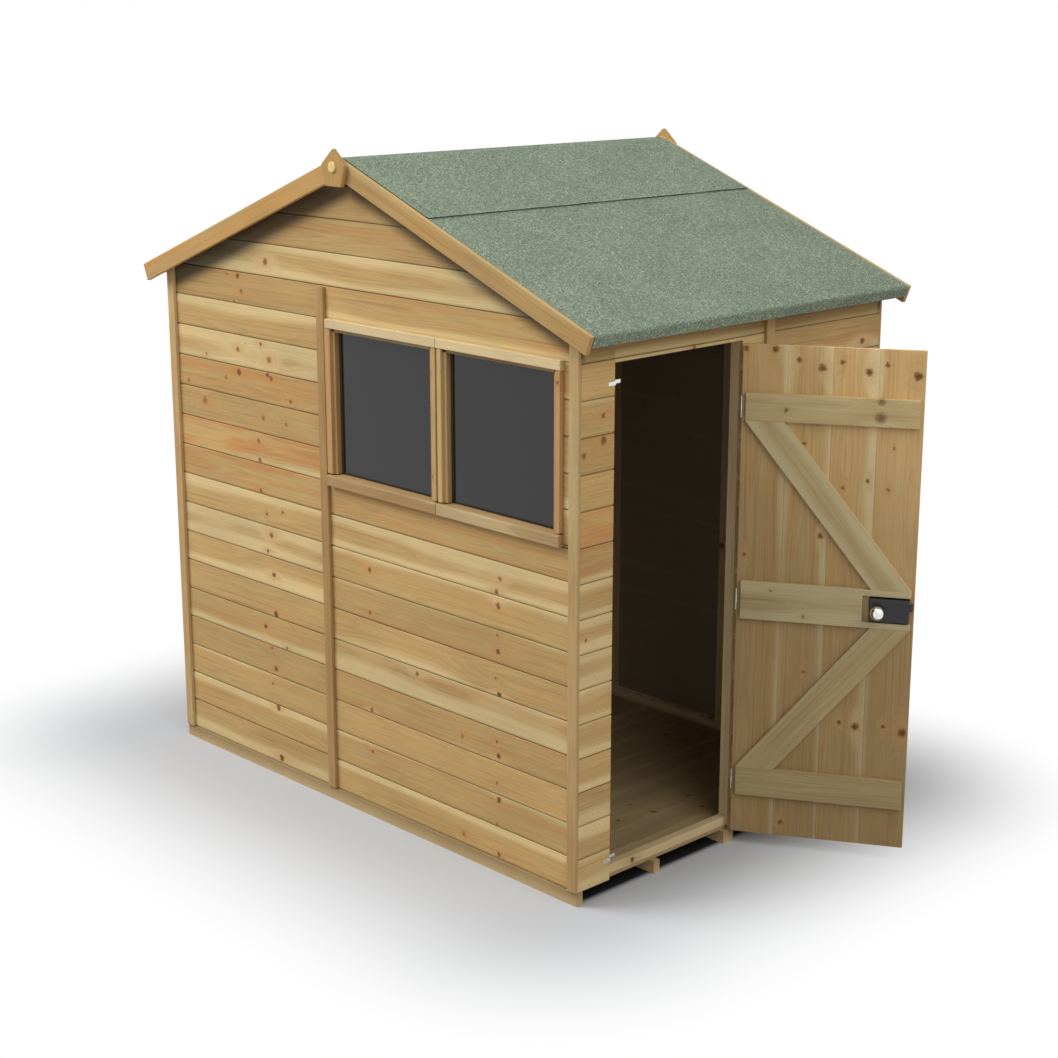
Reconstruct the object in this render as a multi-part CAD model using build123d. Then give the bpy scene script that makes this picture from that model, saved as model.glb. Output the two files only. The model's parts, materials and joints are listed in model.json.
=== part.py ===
from build123d import *
import math
import os

# A timber garden shed with a pitched felt roof, two fixed windows in the front gable wall
# and one ledged and braced door in the right side wall.
# X runs across the gable walls, Y runs from the front gable (low) to the rear gable (high),
# Z is up, and the origin is on the ground at the middle of the plan. Millimetres.

# Overall sizes, over the outer faces of the cladding
shed_width = 2120.0
shed_depth = 1444.0
wall_height = 1792.0
roof_pitch = 21.3

# Cladding, framing and joints between wall panels
cladding_thickness = 12.0
frame_face = 30.0
frame_depth = 38.0
joint_gap = 1.0
hinge_panel_width = 124.5

# Floor
bearer_height = 44.0
bearer_width = 28.0
middle_bearer_width = 50.0
bearer_count = 5
bearer_proud = 6.0
deck_thickness = 12.0
deck_inset = 6.0
cladding_lift = 2.0

# Cover strips over the corners and the panel joints
strip_width = 40.0
strip_thickness = 12.0
strip_top_drop = 6.0

# Windows: a pair of fixed lights that share one aperture
window_pair_width = 1118.0
window_height = 570.0
window_head_drop = 110.0
window_corner_margin = 60.5
window_gap = 2.0
window_stile = 38.0
window_top_rail = 30.0
window_bottom_rail = 42.0
window_proud = 14.0
window_rail_proud = 3.0
window_sill_proud = 8.0
window_frame_depth = 46.0
sill_slope_rise = 6.0
bead_width = 10.0
bead_depth = 12.0
pane_thickness = 4.0
pane_back_inset = 2.0

# Doorway in the right wall and the leaf that closes it
doorway_width = 585.0
doorway_corner_margin = 142.0
doorway_head_drop = 126.0
leaf_thickness = 12.0
leaf_lock_gap = 7.5
leaf_hinge_gap = 6.0
leaf_head_gap = 6.0
leaf_floor_gap = 6.0
threshold_gap = 6.0
open_angle = 121.3

# Ledges and braces on the inner face of the leaf
ledge_thickness = 16.0
ledge_hinge_setback = 14.0
ledge_lock_setback = 10.0
top_ledge_height = 90.0
middle_ledge_height = 128.0
bottom_ledge_height = 100.0
top_ledge_drop = 154.0
middle_ledge_rise = 753.0
bottom_ledge_rise = 138.0
brace_foot = 126.0
brace_thickness = 15.0

# Hinges
hinge_height = 70.0
hinge_gauge = 2.0
hinge_barrel_radius = 4.0
hinge_pin_radius = 1.7
hinge_pin_play = 0.1
hinge_knuckle_gap = 0.5
hinge_middle_knuckle = 24.0
hinge_plate_width = 32.0
hinge_plate_inset = 3.0
hinge_strap_length = 230.0
hinge_strap_tip_width = 15.0
hinge_lift = -6.0

# Rim lock on the inner face of the leaf
lock_length = 127.0
lock_height = 77.0
lock_depth = 24.0
lock_edge_radius = 4.0
lock_setback = 14.0
lock_pocket_margin = 5.0
lock_pocket_clear = 22.0
latch_length = 12.0
latch_tail = 14.0
latch_play = 0.3
latch_height = 22.0
latch_depth = 10.0
latch_rise_on_case = 52.0
knob_from_case_end = 29.0
knob_rise_on_case = 38.5
knob_radius = 23.0
knob_stem_radius = 9.0
knob_stem_length = 8.0
knob_front_flat_radius = 10.0
knob_seat_gap = 0.3
rose_radius = 18.0
rose_thickness = 6.0
rose_bevel = 2.5
key_slot_width = 2.4
key_slot_height = 10.0
key_slot_depth = 4.0

# Steel stop clips on the lock edge of the doorway
clip_gauge = 1.5
clip_height = 18.0
clip_plate = 28.0
clip_flange = 42.0
clip_leaf_gap = 5.5
clip_head_inset = 44.0
clip_foot_inset = 54.0

# Roof
roof_board_thickness = 12.0
eaves_overhang = 81.0
roof_verge = 36.0
felt_thickness = 2.0
cap_felt_reach = 455.0
felt_underlap = 100.0
felt_drip = 36.0
roof_batten_width = 30.0
roof_batten_depth = 24.0
ridge_batten_offset = 18.0

# Bargeboards and finials
barge_width = 62.0
barge_thickness = 16.0
barge_mitre_gap = 1.0
finial_thickness = 16.0
finial_height = 120.0
finial_shoulder_width = 118.0
finial_foot_width = 80.0
finial_shoulder_drop = 52.0
finial_above_ridge = 26.0
button_radius = 18.0
button_thickness = 6.0
button_edge_radius = 3.0
button_drop = 58.0

# One overrun for every cut
overrun = 5.0

# Places that follow from the sizes
half_width = shed_width / 2
half_depth = shed_depth / 2
inner_x = half_width - cladding_thickness
inner_y = half_depth - cladding_thickness
room_x = inner_x - frame_depth
room_y = inner_y - frame_depth
wall_base = bearer_height + cladding_lift
wall_top = wall_base + wall_height
deck_top = bearer_height + deck_thickness
rail_top = deck_top + frame_face
stud_top = wall_top - frame_face
strip_top = wall_top - strip_top_drop

window_right = inner_x - window_corner_margin
window_left = window_right - window_pair_width
front_joint_x = window_left - frame_face - joint_gap / 2
window_top = wall_top - window_head_drop
window_base = window_top - window_height
window_width = (window_pair_width - window_gap) / 2
window_front = -half_depth - window_proud
window_back = window_front + window_frame_depth
light_base = window_base + window_bottom_rail
light_top = window_top - window_top_rail
pane_y = window_back - pane_back_inset - pane_thickness

doorway_lock_edge_y = -half_depth + doorway_corner_margin
doorway_hinge_edge_y = doorway_lock_edge_y + doorway_width
doorway_head = wall_top - doorway_head_drop
right_joint_y = doorway_hinge_edge_y + hinge_panel_width + joint_gap / 2
leaf_lock_y = doorway_lock_edge_y + leaf_lock_gap
leaf_hinge_y = doorway_hinge_edge_y - leaf_hinge_gap
leaf_base = bearer_height + leaf_floor_gap
leaf_top = doorway_head - leaf_head_gap
leaf_inner_x = half_width - leaf_thickness
top_ledge_base = leaf_top - top_ledge_drop - top_ledge_height
middle_ledge_base = leaf_base + middle_ledge_rise
bottom_ledge_base = leaf_base + bottom_ledge_rise
lock_base = middle_ledge_base + (middle_ledge_height - lock_height) / 2
hinge_pin_x = half_width + hinge_barrel_radius
hinge_pin_y = doorway_hinge_edge_y - leaf_hinge_gap / 2

slope_cos = math.cos(math.radians(roof_pitch))
slope_sin = math.sin(math.radians(roof_pitch))
slope_tan = math.tan(math.radians(roof_pitch))
roof_end_y = half_depth + roof_verge
roof_slope_length = (half_width + eaves_overhang) / slope_cos
ridge_underside = wall_top + half_width * slope_tan
felt_base = roof_board_thickness
felt_top = felt_base + felt_thickness
cap_top = felt_top + felt_thickness
ridge_top = ridge_underside + cap_top / slope_cos


def block(x_from, x_to, y_from, y_to, z_from, z_to):
    """A rectangular piece between two corners."""
    size = Box(x_to - x_from, y_to - y_from, z_to - z_from, align=(Align.MIN, Align.MIN, Align.MIN))
    return Pos(x_from, y_from, z_from) * size


def gable_prism(outline, y_from, y_to):
    """A piece with an outline in X and Z, run along Y."""
    corners = [Vector(x, y_from, z) for x, z in outline]
    face = Face(Wire.make_polygon(corners, close=True))
    return Solid.extrude(face, Vector(0, y_to - y_from, 0))


def side_prism(outline, x_from, x_to):
    """A piece with an outline in Y and Z, run along X."""
    corners = [Vector(x_from, y, z) for y, z in outline]
    face = Face(Wire.make_polygon(corners, close=True))
    return Solid.extrude(face, Vector(x_to - x_from, 0, 0))


def post(x, y, radius, z_from, z_to):
    """A round upright piece."""
    upright = Cylinder(radius, z_to - z_from, align=(Align.CENTER, Align.CENTER, Align.MIN))
    return Pos(x, y, z_from) * upright


def to_rear(piece):
    """The same piece at the other gable."""
    return piece.mirror(Plane.XZ)


def to_left(piece):
    """The same piece on the other slope or side wall."""
    return piece.mirror(Plane.YZ)


def save(node, *pieces):
    """Write one node, with each of its solids."""
    solids = [solid for piece in pieces for solid in piece.solids()]
    export_step(Compound(children=solids), f"parts/{node}.step")


def on_slope(along, above):
    """A point of the right slope: along it from the ridge, and above the underside of its boards."""
    x = along * slope_cos + above * slope_sin
    z = ridge_underside - along * slope_sin + above * slope_cos
    return (x, z)


def at_ridge(above):
    """The point over the ridge line at a height above the underside of the boards."""
    return (0, ridge_underside + above / slope_cos)


def swing(piece):
    """Turn a piece of the closed leaf about the hinge pin to where the leaf stands open."""
    pin = Pos(hinge_pin_x, hinge_pin_y, 0)
    return pin * Rot(0, 0, open_angle) * pin.inverse() * piece


def build_floor():
    """Bearers across the width, the middle one wide for the joint of the deck, with the deck on them."""
    front_y = -half_depth - bearer_proud + bearer_width / 2
    pitch = -2 * front_y / (bearer_count - 1)
    bearers = []
    for index in range(bearer_count):
        middle_one = index == bearer_count // 2
        half = (middle_bearer_width if middle_one else bearer_width) / 2
        y = front_y + index * pitch
        bearers.append(block(-half_width, half_width, y - half, y + half, 0, bearer_height))
    save("floor_bearers", *bearers)
    deck_x = inner_x - deck_inset
    deck_y = inner_y - deck_inset
    save("floor_deck", block(-deck_x, deck_x, -deck_y, deck_y, bearer_height, deck_top))


def front_cladding(x_from, x_to, z_from, z_to):
    """A rectangular stretch of the front gable's cladding."""
    return block(x_from, x_to, -half_depth, -inner_y, z_from, z_to)


def right_cladding(y_from, y_to, z_from, z_to):
    """A rectangular stretch of the right wall's cladding."""
    return block(inner_x, half_width, y_from, y_to, z_from, z_to)


def build_cladding():
    """Wall panels, split at their joints, beside the windows and round the doorway."""
    left_of_joint = front_joint_x - joint_gap / 2
    right_of_joint = front_joint_x + joint_gap / 2
    left_panel = front_cladding(-inner_x, left_of_joint, wall_base, wall_top)
    save("front_left_panel", left_panel)
    save("rear_left_panel", to_rear(left_panel))
    save("rear_right_panel", to_rear(front_cladding(right_of_joint, inner_x, wall_base, wall_top)))
    save("front_sill_panel", front_cladding(right_of_joint, inner_x, wall_base, window_base))
    save("front_head_panel", front_cladding(right_of_joint, inner_x, window_top, wall_top))
    beside_left = front_cladding(right_of_joint, window_left, window_base, window_top)
    beside_right = front_cladding(window_right, inner_x, window_base, window_top)
    save("front_window_side_panels", beside_left, beside_right)
    triangle = [(-half_width, wall_top), (half_width, wall_top), (0, ridge_underside)]
    gable = gable_prism(triangle, -half_depth, -inner_y)
    save("front_gable_panel", gable)
    save("rear_gable_panel", to_rear(gable))
    save("left_wall_panel", to_left(right_cladding(-half_depth, half_depth, wall_base, wall_top)))
    near_joint = right_joint_y - joint_gap / 2
    far_joint = right_joint_y + joint_gap / 2
    save("door_lock_side_panel", right_cladding(-half_depth, doorway_lock_edge_y, wall_base, wall_top))
    save("door_hinge_side_panel", right_cladding(doorway_hinge_edge_y, near_joint, wall_base, wall_top))
    head = right_cladding(doorway_lock_edge_y, doorway_hinge_edge_y, doorway_head, wall_top)
    save("door_head_panel", head)
    save("right_far_panel", right_cladding(far_joint, half_depth, wall_base, wall_top))


def gable_stud(x_from, z_to):
    """A stud of the front gable wall that starts at x_from."""
    return block(x_from, x_from + frame_face, -inner_y, -room_y, rail_top, z_to)


def gable_rail(x_from, x_to, z_from):
    """A rail of the front gable wall with its underside at z_from."""
    return block(x_from, x_to, -inner_y, -room_y, z_from, z_from + frame_face)


def side_stud(y_from):
    """A stud of the right wall that starts at y_from."""
    return block(room_x, inner_x, y_from, y_from + frame_face, rail_top, stud_top)


def side_rail(y_from, y_to, z_from):
    """A rail of the right wall with its underside at z_from."""
    return block(room_x, inner_x, y_from, y_to, z_from, z_from + frame_face)


def build_framing():
    """Studs and rails behind the cladding, and the threshold across the doorway."""
    left_of_joint = front_joint_x - joint_gap / 2
    right_of_joint = front_joint_x + joint_gap / 2
    left_middle = (-inner_x + left_of_joint - frame_face) / 2
    window_middle = (window_left + window_right - frame_face) / 2
    corner_studs = [gable_stud(-inner_x, stud_top), gable_stud(inner_x - frame_face, stud_top)]
    joint_studs = [gable_stud(left_of_joint - frame_face, stud_top), gable_stud(right_of_joint, stud_top)]
    shared_studs = corner_studs + joint_studs + [gable_stud(left_middle, stud_top)]
    sill_rail_base = window_base - frame_face
    front_only = [gable_stud(window_middle, sill_rail_base)]
    rear_only = [to_rear(gable_stud(window_middle, stud_top))]
    rear_shared = [to_rear(stud) for stud in shared_studs]
    save("gable_studs", *shared_studs, *front_only, *rear_shared, *rear_only)
    long_rails = [gable_rail(-inner_x, inner_x, deck_top), gable_rail(-inner_x, inner_x, stud_top)]
    corner_stud_x = inner_x - frame_face
    window_rails = [
        gable_rail(window_left, corner_stud_x, sill_rail_base),
        gable_rail(window_left, corner_stud_x, window_top),
    ]
    save("gable_rails", *long_rails, *window_rails, *[to_rear(rail) for rail in long_rails])
    doorway_studs = [
        side_stud(-room_y),
        side_stud(doorway_lock_edge_y - frame_face),
        side_stud(doorway_hinge_edge_y),
        side_stud(right_joint_y - joint_gap / 2 - frame_face),
        side_stud(right_joint_y + joint_gap / 2),
        side_stud(room_y - frame_face),
    ]
    left_studs = [side_stud(-room_y), side_stud(-frame_face / 2), side_stud(room_y - frame_face)]
    save("side_studs", *doorway_studs, *[to_left(stud) for stud in left_studs])
    top_rail = side_rail(-room_y, room_y, stud_top)
    right_rails = [
        top_rail,
        side_rail(-room_y, doorway_lock_edge_y, deck_top),
        side_rail(doorway_hinge_edge_y, room_y, deck_top),
        side_rail(doorway_lock_edge_y, doorway_hinge_edge_y, doorway_head),
    ]
    left_rails = [to_left(top_rail), to_left(side_rail(-room_y, room_y, deck_top))]
    save("side_rails", *right_rails, *left_rails)
    sill_front = leaf_inner_x - threshold_gap
    sill_span = (doorway_lock_edge_y, doorway_hinge_edge_y)
    save("door_threshold", block(room_x, sill_front, *sill_span, deck_top, rail_top))


def build_strips():
    """Corner strips on both gable walls, and strips over the panel joints."""
    strip_front = -half_depth - strip_thickness
    right_corner = block(half_width - strip_width, half_width, strip_front, -half_depth, wall_base, strip_top)
    front_corners = [right_corner, to_left(right_corner)]
    save("corner_strips", *front_corners, *[to_rear(strip) for strip in front_corners])
    strip_left = front_joint_x - strip_width / 2
    front_joint = block(strip_left, strip_left + strip_width, strip_front, -half_depth, wall_base, strip_top)
    strip_near = right_joint_y - strip_width / 2
    strip_outer_x = half_width + strip_thickness
    strip_far = strip_near + strip_width
    right_joint = block(half_width, strip_outer_x, strip_near, strip_far, wall_base, strip_top)
    save("joint_strips", front_joint, to_rear(front_joint), right_joint)


def bottom_rail(left, right):
    """A weathered bottom rail that slopes from the pane to its front edge."""
    rail_front = window_front - window_sill_proud
    outline = [
        (rail_front, window_base),
        (window_back, window_base),
        (window_back, light_base),
        (pane_y, light_base),
        (rail_front, light_base - sill_slope_rise),
    ]
    return side_prism(outline, left, right)


def build_windows():
    """Two fixed lights: rails over and under the stiles, a pane in each and a bead before the pane."""
    stiles = []
    rails = []
    panes = []
    beads = []
    rail_front = window_front - window_rail_proud
    bead_y = pane_y - bead_depth
    for index in range(2):
        left = window_left + index * (window_width + window_gap)
        right = left + window_width
        light_left = left + window_stile
        light_right = right - window_stile
        stiles.append(block(left, light_left, window_front, window_back, light_base, light_top))
        stiles.append(block(light_right, right, window_front, window_back, light_base, light_top))
        rails.append(block(left, right, rail_front, window_back, light_top, window_top))
        rails.append(bottom_rail(left, right))
        panes.append(block(light_left, light_right, pane_y, pane_y + pane_thickness, light_base, light_top))
        beads.append(block(light_left, light_left + bead_width, bead_y, pane_y, light_base, light_top))
        beads.append(block(light_right - bead_width, light_right, bead_y, pane_y, light_base, light_top))
    save("window_stiles", *stiles)
    save("window_rails", *rails)
    save("window_panes", *panes)
    save("window_beads", *beads)


def ledge_block(z_from, height):
    """A ledge across the closed leaf with its underside at z_from."""
    y_from = leaf_lock_y + ledge_lock_setback
    y_to = leaf_hinge_y - ledge_hinge_setback
    return block(leaf_inner_x - ledge_thickness, leaf_inner_x, y_from, y_to, z_from, z_from + height)


def brace_between(top_y, top_z, foot_y, foot_z):
    """A slanting brace with level ends that seats on two ledges of the closed leaf."""
    outline = [
        (top_y, top_z),
        (top_y + brace_foot, top_z),
        (foot_y + brace_foot, foot_z),
        (foot_y, foot_z),
    ]
    return side_prism(outline, leaf_inner_x - brace_thickness, leaf_inner_x)


def build_leaf():
    """The boarded leaf with its three ledges and two braces."""
    boards = block(leaf_inner_x, half_width, leaf_lock_y, leaf_hinge_y, leaf_base, leaf_top)
    save("door_boards", swing(boards))
    case_end_y = leaf_lock_y + lock_setback
    pocket = block(
        leaf_inner_x - ledge_thickness - overrun,
        leaf_inner_x + overrun,
        leaf_lock_y - overrun,
        case_end_y + lock_length + lock_pocket_clear,
        lock_base - lock_pocket_margin,
        lock_base + lock_height + lock_pocket_margin,
    )
    top = ledge_block(top_ledge_base, top_ledge_height)
    middle = ledge_block(middle_ledge_base, middle_ledge_height) - pocket
    bottom = ledge_block(bottom_ledge_base, bottom_ledge_height)
    save("door_ledges", swing(top), swing(middle), swing(bottom))
    hinge_end = leaf_hinge_y - ledge_hinge_setback - brace_foot
    lock_end = leaf_lock_y + ledge_lock_setback
    middle_ledge_top = middle_ledge_base + middle_ledge_height
    bottom_ledge_top = bottom_ledge_base + bottom_ledge_height
    upper = brace_between(hinge_end, top_ledge_base, lock_end, middle_ledge_top)
    lower = brace_between(lock_end, middle_ledge_base, hinge_end, bottom_ledge_top)
    save("door_braces", swing(upper), swing(lower))


def hinge_plate(z_from):
    """The fixed half of a hinge: a plate on the wall, two outer knuckles and the pin."""
    z_to = z_from + hinge_height
    gap_from = z_from + (hinge_height - hinge_middle_knuckle) / 2
    gap_to = gap_from + hinge_middle_knuckle
    plate_x = half_width + hinge_gauge
    plate_y = hinge_pin_y + hinge_barrel_radius + hinge_plate_inset
    half = block(half_width, plate_x, plate_y, plate_y + hinge_plate_width, z_from, z_to)
    for low, high in ((z_from, gap_from), (gap_to, z_to)):
        half += block(half_width, plate_x, hinge_pin_y, plate_y, low, high)
        half += post(hinge_pin_x, hinge_pin_y, hinge_barrel_radius, low, high)
    return half + post(hinge_pin_x, hinge_pin_y, hinge_pin_radius, z_from, z_to)


def hinge_strap(z_from):
    """The moving half of a hinge: a tapered strap with a rounded tip and the middle knuckle."""
    low = z_from + (hinge_height - hinge_middle_knuckle) / 2 + hinge_knuckle_gap
    high = low + hinge_middle_knuckle - 2 * hinge_knuckle_gap
    middle = (low + high) / 2
    tip_half = hinge_strap_tip_width / 2
    tip_y = hinge_pin_y - hinge_strap_length + tip_half
    outline = [
        (hinge_pin_y, low),
        (hinge_pin_y, high),
        (tip_y, middle + tip_half),
        (tip_y, middle - tip_half),
    ]
    strap = side_prism(outline, half_width, half_width + hinge_gauge)
    tip = Pos(half_width + hinge_gauge / 2, tip_y, middle) * Rot(0, 90, 0) * Cylinder(tip_half, hinge_gauge)
    knuckle = post(hinge_pin_x, hinge_pin_y, hinge_barrel_radius, low, high)
    bore = post(hinge_pin_x, hinge_pin_y, hinge_pin_radius + hinge_pin_play, low - overrun, high + overrun)
    return strap + tip + knuckle - bore


def build_hinges():
    """A strap hinge behind each ledge, on the outer face of the leaf."""
    ledges = (
        (top_ledge_base, top_ledge_height),
        (middle_ledge_base, middle_ledge_height),
        (bottom_ledge_base, bottom_ledge_height),
    )
    levels = [base + height / 2 + hinge_lift - hinge_height / 2 for base, height in ledges]
    save("hinge_plates", *[hinge_plate(level) for level in levels])
    save("hinge_straps", *[swing(hinge_strap(level)) for level in levels])


def round_knob():
    """A ball knob on a stem along Z, with a flat at its front."""
    ball_back = math.sqrt(knob_radius**2 - knob_stem_radius**2)
    ball_front = math.sqrt(knob_radius**2 - knob_front_flat_radius**2)
    centre = knob_stem_length + ball_back
    front = centre + ball_front
    profile = Polyline((knob_stem_radius, knob_stem_length), (knob_stem_radius, 0), (0, 0), (0, front))
    profile += Line((0, front), (knob_front_flat_radius, front))
    start = (knob_stem_radius, knob_stem_length)
    profile += ThreePointArc(start, (knob_radius, centre), (knob_front_flat_radius, front))
    return revolve(Plane.XZ * make_face(profile), Axis.Z)


def build_lock():
    """A rim lock in the pocket of the middle ledge, with its latch, knob and outer key rose."""
    case_y = leaf_lock_y + lock_setback
    case_x = leaf_inner_x - lock_depth
    case = block(case_x, leaf_inner_x, case_y, case_y + lock_length, lock_base, lock_base + lock_height)
    case = fillet(case.edges().group_by(Axis.X)[0], lock_edge_radius)
    knob_y = case_y + lock_length - knob_from_case_end
    knob_z = lock_base + knob_rise_on_case
    latch_z = lock_base + latch_rise_on_case - latch_height / 2
    latch_x = leaf_inner_x - lock_depth / 2 - latch_depth / 2
    latch_out = case_y - latch_length
    latch_in = case_y + latch_tail
    latch = block(latch_x, latch_x + latch_depth, latch_out, latch_in, latch_z, latch_z + latch_height)
    slot = block(
        latch_x - latch_play,
        latch_x + latch_depth + latch_play,
        case_y - overrun,
        latch_in + latch_length,
        latch_z - latch_play,
        latch_z + latch_height + latch_play,
    )
    save("lock_case", swing(case - slot))
    save("lock_latch", swing(latch))
    knob = Pos(case_x - knob_seat_gap, knob_y, knob_z) * Rot(0, -90, 0) * round_knob()
    save("lock_knob", swing(knob))
    rose = Cylinder(rose_radius, rose_thickness, align=(Align.CENTER, Align.CENTER, Align.MIN))
    rose = chamfer(rose.edges().group_by(Axis.Z)[-1], rose_bevel)
    slot = Box(key_slot_height, key_slot_width, key_slot_depth, align=(Align.CENTER, Align.CENTER, Align.MAX))
    rose -= Pos(0, 0, rose_thickness) * slot
    save("lock_rose", swing(Pos(half_width, knob_y, knob_z) * Rot(0, 90, 0) * rose))


def stop_clip(z_from):
    """A bent steel strip: on the wall face, back through the doorway and out behind the leaf."""
    z_to = z_from + clip_height
    face_x = half_width + clip_gauge
    return_y = doorway_lock_edge_y + clip_gauge
    flange_front = leaf_inner_x - clip_leaf_gap
    flange_back = flange_front - clip_gauge
    plate_y = doorway_lock_edge_y - clip_plate
    plate = block(half_width, face_x, plate_y, return_y, z_from, z_to)
    returned = block(flange_back, face_x, doorway_lock_edge_y, return_y, z_from, z_to)
    flange_y = doorway_lock_edge_y + clip_flange
    flange = block(flange_back, flange_front, doorway_lock_edge_y, flange_y, z_from, z_to)
    return plate + returned + flange


def build_clips():
    """Two stop clips near the head and the foot of the doorway."""
    low = leaf_base + clip_foot_inset
    high = leaf_top - clip_head_inset - clip_height
    save("door_stop_clips", stop_clip(low), stop_clip(high))


def slope_slab(along_to, low, high, y_from, y_to):
    """A slab on the right slope, plumb at the ridge and square at its lower end."""
    outline = [at_ridge(low), at_ridge(high), on_slope(along_to, high), on_slope(along_to, low)]
    return gable_prism(outline, y_from, y_to)


def slope_batten(along_from, y_end):
    """A batten under the boards of the right slope, along the shed."""
    along_to = along_from + roof_batten_width
    outline = [
        on_slope(along_from, 0),
        on_slope(along_to, 0),
        on_slope(along_to, -roof_batten_depth),
        on_slope(along_from, -roof_batten_depth),
    ]
    return gable_prism(outline, -y_end, y_end)


def build_roof():
    """Boards and battens of both slopes, with the felt over them."""
    boards = slope_slab(roof_slope_length, 0, roof_board_thickness, -roof_end_y, roof_end_y)
    save("right_roof_panel", boards)
    save("left_roof_panel", to_left(boards))
    eaves_batten = slope_batten(roof_slope_length - roof_batten_width, roof_end_y)
    ridge_batten = slope_batten(ridge_batten_offset, inner_y)
    save("roof_battens", eaves_batten, ridge_batten, to_left(eaves_batten), to_left(ridge_batten))
    lap_from = cap_felt_reach - felt_underlap
    drip_level = felt_top - felt_drip
    drip_outer = roof_slope_length + felt_thickness
    sheet_outline = [
        on_slope(lap_from, felt_base),
        on_slope(lap_from, felt_top),
        on_slope(drip_outer, felt_top),
        on_slope(drip_outer, drip_level),
        on_slope(roof_slope_length, drip_level),
        on_slope(roof_slope_length, felt_base),
    ]
    sheet = gable_prism(sheet_outline, -roof_end_y, roof_end_y)
    save("right_roof_felt", sheet)
    save("left_roof_felt", to_left(sheet))
    cap_right = [
        on_slope(lap_from, felt_base),
        on_slope(lap_from, felt_top),
        on_slope(cap_felt_reach, felt_top),
        on_slope(cap_felt_reach, cap_top),
        on_slope(lap_from - felt_thickness, cap_top),
        on_slope(lap_from - 2 * felt_thickness, felt_top),
    ]
    cap_left = [(-x, z) for x, z in reversed(cap_right)]
    cap_outline = [at_ridge(felt_base), *cap_right, at_ridge(felt_top), *cap_left]
    save("ridge_felt", gable_prism(cap_outline, -roof_end_y, roof_end_y))


def build_verges():
    """Bargeboards at both gables, with a finial and its button over each mitre."""
    barge_front = -roof_end_y - barge_thickness
    barge_end = roof_slope_length + felt_thickness
    barge = slope_slab(barge_end, cap_top - barge_width, cap_top, barge_front, -roof_end_y)
    mitre = block(
        -barge_mitre_gap / 2,
        barge_mitre_gap / 2,
        barge_front - overrun,
        -roof_end_y + overrun,
        wall_top,
        ridge_top + overrun,
    )
    right_board = barge - mitre
    boards = [right_board, to_left(right_board)]
    save("front_bargeboards", *boards)
    save("rear_bargeboards", *[to_rear(board) for board in boards])
    finial_top = ridge_top + finial_above_ridge
    shoulder_z = finial_top - finial_shoulder_drop
    foot_z = finial_top - finial_height
    outline = [
        (0, finial_top),
        (finial_shoulder_width / 2, shoulder_z),
        (finial_foot_width / 2, foot_z),
        (-finial_foot_width / 2, foot_z),
        (-finial_shoulder_width / 2, shoulder_z),
    ]
    finial_front = barge_front - finial_thickness
    finial = gable_prism(outline, finial_front, barge_front)
    save("finials", finial, to_rear(finial))
    button = Cylinder(button_radius, button_thickness, align=(Align.CENTER, Align.CENTER, Align.MIN))
    button = fillet(button.edges().group_by(Axis.Z)[-1], button_edge_radius)
    button = Pos(0, finial_front, finial_top - button_drop) * Rot(90, 0, 0) * button
    save("finial_buttons", button, to_rear(button))


os.makedirs("parts", exist_ok=True)
build_floor()
build_cladding()
build_framing()
build_strips()
build_windows()
build_leaf()
build_hinges()
build_lock()
build_clips()
build_roof()
build_verges()
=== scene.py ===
"""The looks of a timber garden shed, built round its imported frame. Metres, +Z up."""

import json
import math
import random

import bmesh
import bpy
from mathutils import Matrix, Vector, noise


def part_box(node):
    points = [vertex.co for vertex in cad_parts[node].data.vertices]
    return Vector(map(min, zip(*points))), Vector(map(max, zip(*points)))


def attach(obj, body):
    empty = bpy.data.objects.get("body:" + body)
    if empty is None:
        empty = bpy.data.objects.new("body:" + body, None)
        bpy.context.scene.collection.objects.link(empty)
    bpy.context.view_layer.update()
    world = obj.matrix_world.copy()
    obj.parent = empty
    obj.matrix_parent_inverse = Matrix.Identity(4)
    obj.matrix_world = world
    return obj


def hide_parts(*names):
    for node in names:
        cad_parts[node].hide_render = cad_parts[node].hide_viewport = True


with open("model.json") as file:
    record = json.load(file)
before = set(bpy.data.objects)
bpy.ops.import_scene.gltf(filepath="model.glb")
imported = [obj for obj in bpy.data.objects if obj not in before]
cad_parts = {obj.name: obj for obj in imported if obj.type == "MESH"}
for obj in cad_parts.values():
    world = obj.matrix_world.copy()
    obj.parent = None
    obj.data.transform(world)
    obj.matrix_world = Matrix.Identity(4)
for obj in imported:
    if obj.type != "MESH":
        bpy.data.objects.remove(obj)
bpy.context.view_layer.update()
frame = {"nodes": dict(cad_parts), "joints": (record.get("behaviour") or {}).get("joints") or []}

# Boards
BOARD_COVER = 0.112
GROOVE_WIDTH = 0.0036
GROOVE_DEPTH = 0.0045
BOARD_CHAMFER = 0.0012
BOARD_ROUND = 0.0060
BOARD_PLAY = 0.0004
DECK_COVER = 0.110
ROOF_BOARD_COVER = 0.098
DOOR_BOARD_COUNT = 4
TINY = 0.0005

# Painted shade: how far a board's colour goes to the shaded wood, or below nought to the inner wood
GROOVE_SHADE = 0.56
INNER_SHADE = -0.90
BEARER_SHADE = 0.45
REVEAL_SHADE = 0.60
LIP_SHADE = 0.30

# Softened edges
SAWN_EASE = 0.0012
PLANED_EASE = 0.0018
DOOR_EASE = 0.0014
METAL_EASE = 0.0004
CASE_EASE = 0.0010
EDGE_ANGLE = math.radians(25)

# Grain of one board: how far its cut may lie from the heart of the tree, and its band of pale sapwood
GRAIN_RUN = 30.0
PITH_SIDE = 0.050
PITH_NEAR = 0.018
PITH_FAR = 0.070
BAND_CHANCE = 0.55
BAND_WIDTHS = (0.010, 0.040)
WARMTHS = (0.15, 0.65)
RING_PITCH = 0.0058

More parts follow.
